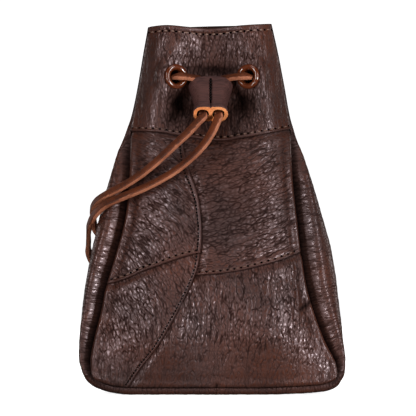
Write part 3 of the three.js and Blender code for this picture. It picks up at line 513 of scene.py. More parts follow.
# The patchwork's seams, left to right or top to bottom, in millimetres across and up
seams = dict(
    mouth=[(-35.9, 202.4), (-25.0, 203.2), (-12.0, 202.0), (0, 201.3), (16.6, 203.0), (33.3, 204.2)],
    yokeLeft=[(-45.9, 144.6), (-31.7, 144.0), (-21.9, 142.6), (-16.5, 141.8)],
    yokeRight=[(-16.5, 141.8), (-4.0, 140.1), (6.2, 139.3), (14.6, 140.6), (23.0, 141.8), (32.8, 143.6),
               (44.5, 145.9)],
    middle=[(-16.5, 141.8), (-14.1, 125.5), (-9.8, 114.0), (-7.1, 104.4), (-5.7, 90.4), (-6.4, 77.8),
            (-8.7, 65.5), (-17.0, 47.9), (-28.9, 27.3), (-38.7, 14.7), (-46.4, 3.3)],
    lowerLeft=[(-60.2, 60.4), (-48.5, 63.2), (-37.3, 68.1), (-27.5, 71.6), (-15.0, 75.9), (-6.4, 77.8)],
    lowerRight=[(-8.7, 65.5), (6.2, 66.5), (17.4, 68.3), (28.7, 71.2), (38.4, 74.0), (51.0, 79.0)],
    backMouth=[(-35.9, 202.4), (0, 203.4), (33.3, 204.2)],
    leftMeets=77.8, rightMeets=65.5,  # where the lower seams meet the middle one
    lap=2.8, lapSink=1.15, lapFade=5.0, stitchBack=1.9, hemStitch=3.3, pitch=3.65,
)
# A bead and a groove along a sewn border, as height or depth, distance and half width, and its turned edge as
# drop and reach
sewnBorders = dict(
    lap=dict(bead=(0.5, 0, 2.6), groove=(0.35, seams["stitchBack"], 0.6), edge=(1.0, 0.9)),
    hem=dict(bead=(0.15, 1.6, 1.0), groove=(0.3, seams["hemStitch"], 0.7), edge=(0.7, 0.8)),
)
# From where to where the leather beside a border changes from smooth to pebbled, then how dark the painted
# shade beside it is and from where to where: a border is a hem, laps over its neighbour, lies under it, or is
# turned into a side seam
smoothReach = dict(hem=(0.4, 2.0), lap=(0.6, 3.0), under=(0.0, 1.5), turned=(1.5, 6.0))
edgeShade = dict(hem=(0.6, 0.1, 0.9), lap=(0.3, 0.5, 1.4), under=(0.6, 0.1, 1.2), turned=(0.9, 0.2, 2.4))
# The ridge beside a drawn-in seam and the shallow trough after it, the same way
valleyRidge, valleyTrough = (0.45, 0, 1.5), (0.35, 3.4, 2.0)


def ridgeAt(distance, height, middle, halfWidth):
    return height * np.exp(-(((distance - middle) / halfWidth) ** 2))


def profileOf(kind, distance):
    # how far the leather stands off the plain form at a distance from one border
    if kind == "under":
        return -seams["lapSink"] * (1 - smoothStep(distance - seams["lap"], 0, seams["lapFade"]))
    if kind == "turned":
        past = distance - seamPull["panelReach"]
        return ridgeAt(past, *valleyRidge) - ridgeAt(past, *valleyTrough)
    border = sewnBorders[kind]
    drop, reach = border["edge"]
    return (ridgeAt(distance, *border["bead"]) - ridgeAt(distance, *border["groove"])
            - drop * turnedIn(distance, reach))


# The pillows and the creases between them: shares of a sheet's pitch, length and height
pillow = dict(pitch=2.7, length=1.6, seed=7.0, height=0.5, crease=1.5, creaseWidth=0.25)


def creaseRelief(uv, wrinkles):
    # pillows parted by long narrow creases, which run along the hide's second direction
    height = np.zeros(uv.shape[:2])
    for i, j in np.ndindex(height.shape):
        across, along = uv[i, j] / (wrinkles["pitch"], wrinkles["length"])
        fine = noise.noise(Vector((across, along, wrinkles["seed"])))
        broad = noise.noise(Vector((across / pillow["pitch"], along / pillow["length"], pillow["seed"])))
        cut = math.exp(-((fine / pillow["creaseWidth"]) ** 2))
        height[i, j] = pillow["height"] * broad - pillow["crease"] * cut
    return height * wrinkles["height"]


def hideUv(x, z, wrinkles):
    # millimetres across and along the creases, turned and fanned over the panel
    angle = math.radians(wrinkles["angle"])
    along = x * math.cos(angle) + z * math.sin(angle)
    across = -x * math.sin(angle) + z * math.cos(angle)
    across = across + wrinkles["bend"] * (along - wrinkles["bendAt"]) ** 2 / 100
    return np.stack([across, along], -1)


def spreadFrom(border, values):
    # gives every point of a panel the value at its own place along one border
    return values[None, :] if border in ("top", "bottom") else values[:, None]


# How near a border the creases fade out, and how smooth the leather is beside one
panelBorder = dict(creaseFade=(1.5, 5.0), smoothShare=0.8, fineReach=5)


def makePanel(name, kinds, borders, wrinkles, facing=-1, step=0.68, fine=0.3):
    # one leather panel between its four borders: top, bottom, left and right
    keys = ("top", "bottom", "left", "right")
    top, bottom, left, right = (np.array(borders[key], float) for key in keys)
    lap, near = seams["lap"], panelBorder["fineReach"]
    u = sharesFor((lineLength(top) + lineLength(bottom)) / 2, step, fine, near)
    v = sharesFor((lineLength(left) + lineLength(right)) / 2, step, fine, near)
    lines = dict(top=resampled(top, u), bottom=resampled(bottom, u), left=resampled(left, v),
                 right=resampled(right, v))
    # a panel that lies under its neighbour reaches on below the lap
    flat = {key: line[:, :2].copy() for key, line in lines.items()}
    if kinds["top"] == "under":
        flat["top"][:, 1] += lap
    if kinds["left"] == "under":
        flat["left"][:, 0] -= lap
    corners = {
        ("top", "left"): np.array([flat["left"][0, 0], flat["top"][0, 1]]),
        ("top", "right"): np.array([flat["right"][0, 0], flat["top"][-1, 1]]),
        ("bottom", "left"): np.array([flat["left"][-1, 0], flat["bottom"][0, 1]]),
        ("bottom", "right"): np.array([flat["right"][-1, 0], flat["bottom"][-1, 1]]),
    }
    for key in ("top", "bottom"):
        flat[key] = fitEnds(flat[key], corners[key, "left"], corners[key, "right"])
    for key in ("left", "right"):
        flat[key] = fitEnds(flat[key], corners["top", key], corners["bottom", key])
    plane = patchBetween(flat["top"], flat["bottom"], flat["left"], flat["right"], u, v)
    x, z = plane[..., 0], plane[..., 1]
    grid = np.stack([x, bagDepth(x, z, facing), z], -1)
    down, over = runAlong(grid, 0), runAlong(grid, 1)
    distance = dict(top=down, bottom=down[-1:] - down, left=over, right=over[:, -1:] - over)
    normal = gridNormals(grid)
    normal *= np.where(normal[..., 1:2].mean() * facing > 0, 1, -1)
    uv = hideUv(x, z, wrinkles)
    shade, sunk = hollowAt(x, z) if facing < 0 else (inEyelet(x, z), 0 * x)
    creaseFade, smoothBand = np.ones(x.shape), np.zeros(x.shape)
    for key in keys:
        kind, away = kinds[key], distance[key]
        creaseFade *= smoothStep(away, *panelBorder["creaseFade"])
        band = 1 - smoothStep(away, *smoothReach[kind])
        if kind == "turned":
            band = band * spreadFrom(key, np.minimum(drawnShare(lines[key][:, 2], seamPull["panelFull"]), 1))
        smoothBand = np.maximum(smoothBand, band)
        # painted shade along each border: the shadow of a fold, a lap or a drawn-in seam
        dark, darkFrom, darkTo = edgeShade[kind]
        fromEdge = away - lap if kind == "under" else away
        shade = np.maximum(shade, dark * (1 - smoothStep(fromEdge, darkFrom, darkTo)))
    relief = creaseRelief(uv, wrinkles) * creaseFade * (1 - smoothPlaces(x, z))
    pull, taken = np.zeros(grid.shape), np.zeros(x.shape)
    for key in keys:
        profile = profileOf(kinds[key], distance[key])
        if kinds[key] != "turned":
            relief = relief + profile
            continue
        line = lines[key]
        relief = relief + profile * spreadFrom(key, drawnShare(line[:, 2], seamPull["panelFull"]))
        table, side = (leftEdge, -1) if line[:, 0].mean() < 0 else (rightEdge, 1)
        pulls = baseSplit(line) if line.shape[1] > 3 else pullAt(table, side, line[:, 2], facing)
        weight = (turnedIn(distance[key], seamPull["panelReach"]) * (1 - seamPull["rollShare"])
                  + turnedIn(distance[key], seamPull["rollReach"]) * seamPull["rollShare"]) * (1 - taken)
        pull += spreadFrom(key, pulls) * weight[..., None]
        taken = np.maximum(taken, weight)
    grid = grid + normal * relief[..., None] + pull
    grid[..., 1] += sunk
    smooth = np.maximum(smoothBand * panelBorder["smoothShare"], smoothPlaces(x, z))
    piece = sheetFrom(name, inFrame(grid), uv, smooth, shade, flip=facing < 0)
    addWall(piece, bag["wall"])
    return piece


def cutEyeletHoles(piece):
    # opens the front's leather under each eyelet, a little wider than the ring's own hole
    bm = bmesh.new()
    bm.from_mesh(piece.data)
    places = [Vector(inFrame(seats[side, -1]["place"])) * mm for side in (-1, 1)]
    inside = [face for face in bm.faces
              if any((face.calc_center_median() - place).length < bag["eyeletCut"] * mm for place in places)]
    bmesh.ops.delete(bm, geom=inside, context="FACES")
    bm.to_mesh(piece.data)
    bm.free()


# The folds beside and above the slider, and the fullness of the lower panels: place, radii across and up,
# turn, painted shade, and how much deeper the leather lies there
frontFolds = [
    (-17.5, 160.5, 6.5, 9.0, -12, 0.85, 2.4),
    (16.5, 160.5, 6.0, 8.5, 12, 0.8, 2.2),
    (-23.0, 153.0, 5.0, 5.0, 0, 0.45, 0.8),
    (0.0, 178.6, 17.0, 3.2, 0, 0.85, 0.8),
    (0.0, 152.0, 13.0, 6.0, 0, 0.45, 0.0),
    (12.0, 104.0, 20.0, 24.0, 0, 0.36, 0.6),
    (2.0, 190.0, 12.0, 8.0, 0, 0.15, 0.0),
    (-30.0, 37.0, 20.0, 24.0, 0, 0.0, -5.4),
    (33.0, 39.0, 20.0, 25.0, 0, 0.0, -6.2),
]
# Single creases and the notch at the base: ends, half width, painted shade and depth
singleCreases = [
    ((48.3, 46.9), (58.1, 53.9), 1.1, 0.85, 0.9),
    ((-6.0, 139.5), (8.0, 137.4), 1.2, 0.3, 0.3),
    ((1.6, 1.0), (2.6, 5.5), 1.0, 0.9, 0.8),
]
# Where the leather is stretched smoother: the neck's side columns and just above the base, as a share,
# between two heights and two distances from the middle
stretched = dict(neck=0.4, neckUp=(122, 153), neckOut=(24, 34), base=0.25, baseUp=(8, 34))


def inEyelet(x, z):
    # the leather seen through the back eyelets, painted dark as the shade inside them
    away = np.hypot(np.abs(x) - bag["eyeletSpacing"] / 2, z - bag["eyeletHeight"])
    return 1 - smoothStep(away, *bag["eyeletShade"])


def hollowAt(x, z):
    # how much painted shade each fold and crease lays on the leather, and how much deeper it makes it
    shade, sunk = 0 * x, 0 * x
    for across, up, wide, high, turn, dark, deep in frontFolds:
        angle = math.radians(turn)
        dx, dz = x - across, z - up
        near = ((dx * math.cos(angle) + dz * math.sin(angle)) / wide) ** 2
        near = near + ((dz * math.cos(angle) - dx * math.sin(angle)) / high) ** 2
        weight = np.exp(-near)
        shade = 1 - (1 - shade) * (1 - dark * weight)
        sunk = sunk + deep * weight
    for (fromX, fromZ), (toX, toZ), wide, dark, deep in singleCreases:
        runX, runZ = toX - fromX, toZ - fromZ
        share = np.clip(((x - fromX) * runX + (z - fromZ) * runZ) / (runX ** 2 + runZ ** 2), 0, 1)
        away = np.hypot(x - fromX - runX * share, z - fromZ - runZ * share)
        weight = np.exp(-((away / wide) ** 2))
        shade = 1 - (1 - shade) * (1 - dark * weight)
        sunk = sunk + deep * weight
    return shade, sunk


def smoothPlaces(x, z):
    neck = stretched["neck"] * smoothStep(z, *stretched["neckUp"])
    neck = neck * smoothStep(np.abs(x), *stretched["neckOut"])
    base = stretched["base"] * (1 - smoothStep(z, *stretched["baseUp"]))
    return np.maximum(neck, base)


def baseSplit(line):
    # the base border belongs to both side strips, which meet below the bag
    pulls = np.zeros((len(line), 3))
    for table, side, mask in ((leftEdge, -1, line[:, 0] < 0), (rightEdge, 1, line[:, 0] >= 0)):
        if mask.any():
            pulls[mask] = pullAt(table, side, line[mask, 2], line[0, 3])
    return pulls


def baseLine(fromRow, toRow, facing):
    # the base border from left to right, between a row of the left table and one of the right
    left = edgeLine(leftEdge, -1, fromRow, len(leftEdge) - 1)
    right = edgeLine(rightEdge, 1, toRow, len(rightEdge) - 1)[::-1]
    line = np.concatenate([left, right[1:]])
    return np.concatenate([line, np.full((len(line), 1), facing)], 1)


# Rows of the side tables: where the yoke ends, at the base's corner and under it, and where the lower seams
# meet the sides
yokeRow, cornerRow, footRow = 4, 13, 15
leftUpperRow, rightUpperRow = 9, 8
middleLine = curveThrough(seams["middle"])
splitLeft = int(np.argmin(np.abs(middleLine[:, 1] - seams["leftMeets"])))
splitRight = int(np.argmin(np.abs(middleLine[:, 1] - seams["rightMeets"])))
yokeLine = np.concatenate([curveThrough(seams["yokeLeft"]), curveThrough(seams["yokeRight"])[1:]])

yokeHide = dict(angle=90, bend=0.0, bendAt=170, pitch=2.6, length=18, height=0.2, seed=1.0)
yoke = makePanel(
    "front_yoke_leather", dict(top="hem", bottom="lap", left="turned", right="turned"),
    dict(top=curveThrough(seams["mouth"]), bottom=yokeLine,
         left=edgeLine(leftEdge, -1, 0, yokeRow), right=edgeLine(rightEdge, 1, 0, yokeRow)),
    yokeHide,
)
cutEyeletHoles(yoke)
finishPiece(yoke, "body_leather", "front_yoke")

upperLeftHide = dict(angle=-52, bend=0.6, bendAt=-80, pitch=3.0, length=12, height=0.18, seed=2.0)
upperLeft = makePanel(
    "front_upper_left_leather", dict(top="under", bottom="lap", left="turned", right="lap"),
    dict(top=curveThrough(seams["yokeLeft"]), bottom=curveThrough(seams["lowerLeft"]),
         left=edgeLine(leftEdge, -1, yokeRow, leftUpperRow), right=middleLine[:splitLeft + 1]),
    upperLeftHide,
)
finishPiece(upperLeft, "body_leather", "front_upper_left")

upperRightHide = dict(angle=9, bend=-0.35, bendAt=15, pitch=2.9, length=14, height=0.24, seed=3.0)
upperRight = makePanel(
    "front_upper_right_leather", dict(top="under", bottom="lap", left="under", right="turned"),
    dict(top=curveThrough(seams["yokeRight"]), bottom=curveThrough(seams["lowerRight"]),
         left=middleLine[:splitRight + 1], right=edgeLine(rightEdge, 1, yokeRow, rightUpperRow)),
    upperRightHide,
)
finishPiece(upperRight, "body_leather", "front_upper_right")

lowerLeftHide = dict(angle=-68, bend=0.5, bendAt=-60, pitch=2.8, length=10, height=0.17, seed=4.0)
lowerLeft = makePanel(
    "front_lower_left_leather", dict(top="under", bottom="turned", left="turned", right="lap"),
    dict(top=curveThrough(seams["lowerLeft"]), bottom=edgeLine(leftEdge, -1, cornerRow, footRow),
         left=edgeLine(leftEdge, -1, leftUpperRow, cornerRow), right=middleLine[splitLeft:]),
    lowerLeftHide,
)
finishPiece(lowerLeft, "body_leather", "front_lower_left")

lowerRightHide = dict(angle=88, bend=-0.25, bendAt=40, pitch=2.8, length=13, height=0.2, seed=5.0)
lowerRight = makePanel(
    "front_lower_right_leather", dict(top="under", bottom="turned", left="under", right="turned"),
    dict(top=curveThrough(seams["lowerRight"]), bottom=baseLine(footRow, cornerRow, -1),
         left=middleLine[splitRight:], right=edgeLine(rightEdge, 1, rightUpperRow, cornerRow)),
    lowerRightHide,
)
finishPiece(lowerRight, "body_leather", "front_lower_right")
print("front panels sewn")

backHide = dict(angle=80, bend=0.1, bendAt=80, pitch=3.2, length=14, height=0.22, seed=6.0)
backPanel = makePanel(
    "back_panel_leather", dict(top="hem", bottom="turned", left="turned", right="turned"),
    dict(top=curveThrough(seams["backMouth"]), bottom=baseLine(cornerRow, cornerRow, 1),
         left=edgeLine(leftEdge, -1, 0, cornerRow), right=edgeLine(rightEdge, 1, 0, cornerRow)),
    backHide, facing=1, step=1.0, fine=0.35,
)
finishPiece(backPanel, "body_leather", "back_panel")
print("back panel sewn")


# The side strips: rows down the seam, columns from the front seam round to the back seam
strip = dict(
    step=1.0, cornerColumns=12, middleColumns=24, leastCorner=2.25, widestCorner=0.3, foldPower=1.2,
    smooth=0.2, dark=0.93, darkFrom=1.2, darkTo=5.0, darkGain=1.3, ribFrom=3.0, ribTo=8.0,
)
stripHide = dict(pitch=3.4, length=14, height=0.1, seed=8.0)


def makeStrip(name, table, side):
    last = len(table) - 1
    line = edgeLine(table, side, 0, last)
    rows = resampled(line, np.linspace(0, 1, int(lineLength(line) / strip["step"]) + 1))[:, 2]
    rows[-1] = last
    cornerShares = np.linspace(0, 1, strip["cornerColumns"] + 1)[:-1]
    middleShares = np.linspace(0, 1, strip["middleColumns"] + 1)
    grid = []
    for row in rows:
        here = edgeLine(table, side, row, row, 1)[0]
        along = np.array([-side, 0.0]) if row >= last else seamWay(table, side, row)
        outward = np.array([along[1], -along[0]]) * -side
        roll = max(float(alongRows(table[:, 2], row)), 0) * bag["gussetRoll"]
        fold = max(float(alongRows(table[:, 3], row)), 0) * bag["gussetFold"]
        front, back = (float(bagDepth(here[0], here[1], facing)) for facing in (-1, 1))
        corner = float(np.clip(roll, strip["leastCorner"], strip["widestCorner"] * (back - front)))
        rounding = min(roll / corner, 1)
        out = roll * np.sin(np.pi / 2 * cornerShares)
        inside = corner * (cornerShares + (1 - np.cos(np.pi / 2 * cornerShares) - cornerShares) * rounding)
        middleOut = roll - fold * np.sin(np.pi * middleShares) ** strip["foldPower"]
        outs = np.concatenate([out, middleOut, out[::-1]])
        ys = np.concatenate([front + inside, front + corner + (back - front - 2 * corner) * middleShares,
                             (back - inside)[::-1]])
        x = here[0] + outward[0] * outs
        z = np.maximum(here[1] + outward[1] * outs, 0)
        grid.append(np.stack([x, ys, z], 1))
    grid = np.array(grid)
    over = runAlong(grid, 1)
    reach = np.minimum(seamPull["stripReach"], over[:, -1:] * seamPull["stripShare"])
    for facing, distance in ((-1, over), (1, over[:, -1:] - over)):
        pulls = pullAt(table, side, rows, facing)
        grid = grid + pulls[:, None] * (1 - smoothStep(distance, 0, reach))[..., None]
    down = runAlong(grid[:, strip["cornerColumns"], None], 0)
    uv = np.stack([np.repeat(down, grid.shape[1], 1), over], -1)
    near = np.minimum(over, over[:, -1:] - over)
    strength = spreadFrom("left", drawnShare(rows, seamPull["stripFull"]))
    # painted shade in the valley beside each seam, darker where the seam is drawn in further
    shade = strip["dark"] * (1 - smoothStep(near, strip["darkFrom"], strip["darkTo"]))
    shade = shade * np.minimum(strength * strip["darkGain"], 1)
    normal = gridNormals(grid)
    normal *= np.where(normal[..., :1].mean() * side > 0, 1, -1)
    ribs = creaseRelief(uv, stripHide) * smoothStep(near, strip["ribFrom"], strip["ribTo"])
    grid = grid + normal * ribs[..., None]
    grid[..., 2] = np.maximum(grid[..., 2], 0)
    piece = sheetFrom(name, inFrame(grid), uv, np.full(over.shape, strip["smooth"]), shade, flip=side > 0)
    addWall(piece, bag["wall"])
    return piece


stripLeft = makeStrip("gusset_left_leather", leftEdge, -1)
finishPiece(stripLeft, "body_leather", "gusset_left")
stripRight = makeStrip("gusset_right_leather", rightEdge, 1)
finishPiece(stripRight, "body_leather", "gusset_right")
print("side strips sewn")


# The laces: a flat section swept along its route
lace = dict(
    width=4.6, thickness=2.6, round=0.55, step=1.4, lean=dict(left=44, right=54), leanFade=(0.35, 0.6),
    leanWay=(-0.6, 0, 0.8), tailTurn=(0.5, 1, 0), neckWay=(0.001, -0.6, 0.8),
    mouthOff=0.3, mouthDrop=0.45, grainShare=0.36, clearOutside=1.2, clearInside=1.6, hole=1.8,
)
sectionCorners = []
for cornerX, cornerY, start in ((1, 1, 0), (-1, 1, 90), (-1, -1, 180), (1, -1, 270)):
    for turn in (0, 45, 90):
        angle = math.radians(start + turn)
        sectionCorners.append((
            cornerX * (lace["width"] / 2 - lace["round"]) + lace["round"] * math.cos(angle),
            cornerY * (lace["thickness"] / 2 - lace["round"]) + lace["round"] * math.sin(angle),
        ))


def laceMesh(name, route, faceWay):
    # route in millimetres; faceWay gives the grain side's direction at a share of the route
    fine = curveThrough(route, 30)
    steps = np.linalg.norm(np.diff(fine, axis=0), axis=1)
    far = np.concatenate([[0], np.cumsum(steps)])
    count = int(far[-1] / lace["step"])
    path = np.stack([np.interp(np.linspace(0, far[-1], count + 1), far, fine[:, k]) for k in range(3)], 1)
    tangents = np.gradient(path, axis=0)
    tangents /= np.linalg.norm(tangents, axis=1, keepdims=True)
    bm = bmesh.new()
    rows, faces = [], []
    for k, (point, tangent) in enumerate(zip(path, tangents)):
        face = np.array(faceWay(point, k / count), float)
        face -= tangent * face.dot(tangent)
        face /= np.linalg.norm(face)
        faces.append(face)
        across = np.cross(tangent, face)
        rows.append([bm.verts.new(Vector(point + across * a + face * b) * mm) for a, b in sectionCorners])
    edges = [[bm.edges.new((row[k], row[(k + 1) % len(row)])) for k in range(len(row))] for row in rows]
    for before, after in zip(edges, edges[1:]):
        bmesh.ops.bridge_loops(bm, edges=before + after)
    for ends in (edges[0], edges[-1]):
        bmesh.ops.edgeloop_fill(bm, edges=ends)
    bmesh.ops.recalc_face_normals(bm, faces=bm.faces)
    piece = pieceFrom(name, bm, laceGrain, laceCut)
    for polygon in piece.data.polygons:
        centre = np.array(polygon.center) / mm
        near = int(np.argmin(np.linalg.norm(path - centre, axis=1)))
        side = (centre - path[near]).dot(faces[near])
        polygon.material_index = 0 if side > lace["thickness"] * lace["grainShare"] else 1
    return piece, path


# The slider's form and its two channels; form gives its width at shares of its length
slider = dict(
    length=26.3, width=19.5, thickness=11, wall=2.2, web=2.0, tilt=48, across=-0.8, top=171.2, shoulder=3,
    sink=0.9, laceGap=0.3,
    form=[(0, 1.25), (0.3, 1.09), (0.6, 0.96), (0.85, 0.94), (1.0, 1.0)],
)
tilt = math.radians(slider["tilt"])
sliderDown = np.array([0, -math.sin(tilt), -math.cos(tilt)])
sliderFront = np.array([0, -math.cos(tilt), math.sin(tilt)])
restHeight = slider["top"] - slider["thickness"] / 2 * math.sin(tilt)
restDepth = float(bagDepth(slider["across"], restHeight, -1)) - slider["sink"]
sliderOrigin = np.array([
    slider["across"],
    restDepth - slider["thickness"] / 2 * math.cos(tilt),
    slider["top"],
])
channelWidth = (slider["width"] - 2 * slider["wall"] - slider["web"]) / 2
channelHeight = slider["thickness"] - 2 * slider["wall"]
channelCentre = (slider["web"] + channelWidth) / 2
laceOff = -(channelHeight / 2 - lace["width"] / 2 - slider["laceGap"])


def sliderWidthAt(along):
    form = np.array(slider["form"])
    return alongRows(form[:, 1], np.interp(along, form[:, 0], np.arange(len(form))))


def channelPoint(side, along, off):
    width = float(sliderWidthAt(min(max(along, 0), 1)))
    across = np.array([side * channelCentre * width, 0, 0])
    return sliderOrigin + sliderDown * along * slider["length"] + sliderFront * off + across


# The free ends from the slider's mouth, round the left side strip and down behind it
tails = dict(
    left=[(-7.2, -33.6, 149.9), (-12.6, -36.0, 144.0), (-20.5, -36.2, 136.7), (-30.0, -34.0, 127.9),
          (-39.4, -30.4, 120.3), (-49.5, -25.4, 114.0), (-58.0, -20.6, 109.6), (-63.6, -14.2, 105.8),
          (-66.1, -6.6, 101.9), (-66.0, 1.5, 98.6), (-65.8, 9.9, 95.3), (-65.0, 18.8, 90.7),
          (-60.0, 27.2, 84.5), (-52.4, 30.8, 76.6), (-47.0, 33.9, 66.0), (-44.0, 35.5, 55.5),
          (-42.3, 36.3, 46.0)],
    right=[(2.6, -33.9, 149.6), (-0.1, -36.7, 143.6), (-4.4, -37.8, 137.0), (-11.4, -37.4, 129.6),
           (-20.5, -35.8, 122.4), (-30.0, -34.0, 116.8), (-39.4, -31.4, 112.3), (-49.5, -27.6, 108.2),
           (-58.4, -23.2, 104.2), (-64.4, -16.8, 98.8), (-67.6, -8.8, 92.6), (-68.4, -0.4, 87.6),
           (-68.6, 8.0, 83.2), (-68.9, 17.2, 78.1), (-66.4, 26.2, 71.8), (-60.8, 31.2, 63.0),
           (-56.4, 33.2, 53.5), (-54.6, 34.4, 44.0)],
)


def tailFace(name, point, share):
    # the grain side looks up and outwards, leaning towards the left
    outward = (point - np.array([bag["shiftX"], bag["shiftY"], 0])) * lace["tailTurn"]
    outward /= np.linalg.norm(outward)
    lean = math.tan(math.radians(lace["lean"][name])) * (1 - smoothStep(share, *lace["leanFade"]))
    return outward + np.array(lace["leanWay"]) * lean


for name, side in (("left", -1), ("right", 1)):
    start = channelPoint(side, 1, lace["mouthOff"]) + sliderDown * lace["mouthDrop"]
    route = inFrame(np.array([start, start + sliderDown * lace["thickness"], *tails[name]]))
    tail, path = laceMesh(f"lace_tail_{name}", route, lambda point, share: tailFace(name, point, share))
    finishPiece(tail, "lace_leather", f"drawstring_tail_{name}")


def halfRun(side):
    # up the slider's channel, in at the front eyelet, across the neck and out at the back one
    front, back = seats[side, -1], seats[side, 1]
    outside = lace["thickness"] + lace["clearOutside"]
    inside = -lace["hole"] - lace["thickness"] - lace["clearInside"]
    top = channelPoint(side, -0.06, 0.6)
    entry = front["place"] + front["normal"] * outside
    frontInner, backInner = (seat["place"] + seat["normal"] * inside for seat in (front, back))
    return [
        channelPoint(side, 1, laceOff), channelPoint(side, 0.6, laceOff),
        channelPoint(side, 0.22, laceOff * 0.5), top,
        (top + entry) / 2 + np.array([0, -0.9, 0.5]), entry,
        frontInner, (frontInner + backInner) / 2 + np.array([side * 1.2, 0, 0]), backInner,
        back["place"] + back["normal"] * outside,
    ]


backSeats = [seats[side, 1] for side in (-1, 1)]
backMiddle = sum(seat["place"] + seat["normal"] * (lace["thickness"] + 1) for seat in backSeats) / 2
neckRoute = inFrame(np.array([*halfRun(-1), backMiddle, *halfRun(1)[::-1]]))
neckRun, path = laceMesh("lace_neck_run", neckRoute, lambda point, share: lace["neckWay"])
finishPiece(neckRun, "lace_leather", "drawstring_neck")
print("laces laid")


# The eyelets: a ring profile spun about its own axis, then seated on the leather
eyelet = dict(
    outer=13.9, hole=7.5, barrel=0.55, dome=2.0, domePower=0.8, lip=0.15, steps=48, wall=1.8, gap=0.3,
    # the rolled back: the share of the ring's radius, its thickness, and the roll's radius and depths
    backShare=0.86, backEdge=0.7, rollOut=0.6, rollDepth=1.2, holeDepth=0.9,
)


def ringProfile():
    hole, ring, lip = eyelet["hole"] / 2, eyelet["outer"] / 2, eyelet["lip"]
    inside, backOuter = -eyelet["wall"] - eyelet["gap"], ring * eyelet["backShare"]
    half, rise, power = (ring - hole) / 2, eyelet["dome"], eyelet["domePower"]
    dome = [(hole + half - half * math.cos(turn), lip + rise * math.sin(turn) ** power)
            for turn in map(math.radians, range(0, 181, 15))]
    back = [(backOuter, inside), (backOuter, inside - eyelet["backEdge"]),
            (hole + eyelet["rollOut"], inside - eyelet["rollDepth"]), (hole, inside - eyelet["holeDepth"])]
    return dome + [(hole + eyelet["barrel"], lip), (hole + eyelet["barrel"], inside)] + back


def makeEyelet(name, seat):
    bm = bmesh.new()
    verts = [bm.verts.new((r * mm, 0, h * mm)) for r, h in ringProfile()]
    edges = [bm.edges.new((verts[k], verts[(k + 1) % len(verts)])) for k in range(len(verts))]
    bmesh.ops.spin(bm, geom=verts + edges, cent=(0, 0, 0), axis=(0, 0, 1), angle=2 * math.pi,
                   steps=eyelet["steps"], use_merge=True)
    bmesh.ops.remove_doubles(bm, verts=bm.verts, dist=1e-6)
    bmesh.ops.recalc_face_normals(bm, faces=bm.faces)
    turn = Vector((0, 0, 1)).rotation_difference(Vector(seat["normal"])).to_matrix().to_4x4()
    place = Matrix.Translation(Vector(inFrame(seat["place"])) * mm) @ turn
    bmesh.ops.transform(bm, matrix=place, verts=bm.verts)
    return pieceFrom(name, bm, eyeletEnamel)


for facing, faceName in ((-1, "front"), (1, "back")):
    for side, sideName in ((-1, "left"), (1, "right")):
        ring = makeEyelet(f"enamel_{faceName}_{sideName}", seats[side, facing])
        finishPiece(ring, "eyelet_enamel", f"eyelet_{faceName}_{sideName}")
print("eyelets set")

# The slider: a sleeve with two channels, pinched along its middle and cut square at the mouth
sliderDetail = dict(
    rows=26, corner=0.42, rimRound=0.35, rimBand=0.6, channelCorner=0.42, spacing=0.5,
    # the slit's depth, half width, where it opens and where it closes again by a share, and where it is
    # painted
    #     # dark as shade
    slit=1.7, slitWidth=0.5, opens=(0.02, 0.25), closes=(0.85, 1.0), closeShare=0.55, dark=(0.1, 0.86),
    slitFrom=0.35,  # as a share of the thickness, so that the sides stay whole
    # stitches over the slit, by shares of the length, then their radii along, across and up
    firstStitch=0.17, stitchStep=0.084, stitches=8, stitchSink=0.1, stitch=(0.9, 0.45, 0.4),
)


def roundedRing(width, height, radius, steps=7, spacing=1.0):
    # points round a rectangle with rounded corners, anticlockwise from the lower right
    points = []
    for cornerX, cornerY, start in ((1, -1, 270), (1, 1, 0), (-1, 1, 90), (-1, -1, 180)):
        for turn in np.linspace(0, 90, steps):
            angle = math.radians(start + turn)
            points.append((cornerX * (width / 2 - radius) + radius * math.cos(angle),
                           cornerY * (height / 2 - radius) + radius * math.sin(angle)))
    ring = []
    for here, there in zip(points, points[1:] + points[:1]):
        gap = math.dist(here, there)
        count = max(int(gap / spacing), 1)
        ring += [(here[0] + (there[0] - here[0]) * k / count, here[1] + (there[1] - here[1]) * k / count)
                 for k in range(count)]
    return np.array(ring)


def sliderPlace(points, along):
    # from across, front and share of length to the frame
    across, front = points[:, 0], points[:, 1]
    down = along * slider["length"] + (1 - along) * slider["shoulder"] * (2 * across / slider["width"]) ** 2
    places = (sliderOrigin + np.outer(across * sliderWidthAt(min(max(along, 0), 1)), (1, 0, 0))
              + np.outer(front, sliderFront) + np.outer(down, sliderDown))
    return inFrame(places)


def addSleeve(bm, ringAt, places):
    # a tube of rings; returns its first and last edge loops
    loops = []
    for along in places:
        verts = [bm.verts.new(Vector(p) * mm) for p in sliderPlace(ringAt(along), along)]
        loops.append([bm.edges.new((verts[k], verts[(k + 1) % len(verts)])) for k in range(len(verts))])
    for before, after in zip(loops, loops[1:]):
        bmesh.ops.bridge_loops(bm, edges=before + after)
    return loops[0], loops[-1]


def outerRing(along):
    # the outside at a share of the length, with the slit pressed into its front and back
    toEnd = min(along, 1 - along) * slider["length"]
    inset = sliderDetail["rimRound"] * float(turnedIn(toEnd, sliderDetail["rimRound"] * 2))
    ring = roundedRing(slider["width"] - 2 * inset, slider["thickness"] - 2 * inset,
                       slider["thickness"] * sliderDetail["corner"], spacing=sliderDetail["spacing"])
    depth = sliderDetail["slit"] * float(smoothStep(along, *sliderDetail["opens"]))
    depth = depth * (1 - sliderDetail["closeShare"] * float(smoothStep(along, *sliderDetail["closes"])))
    dip = depth * np.exp(-((ring[:, 0] / sliderDetail["slitWidth"]) ** 2))
    onFace = np.abs(ring[:, 1]) > slider["thickness"] * sliderDetail["slitFrom"]
    ring[:, 1] -= dip * np.sign(ring[:, 1]) * onFace
    return ring


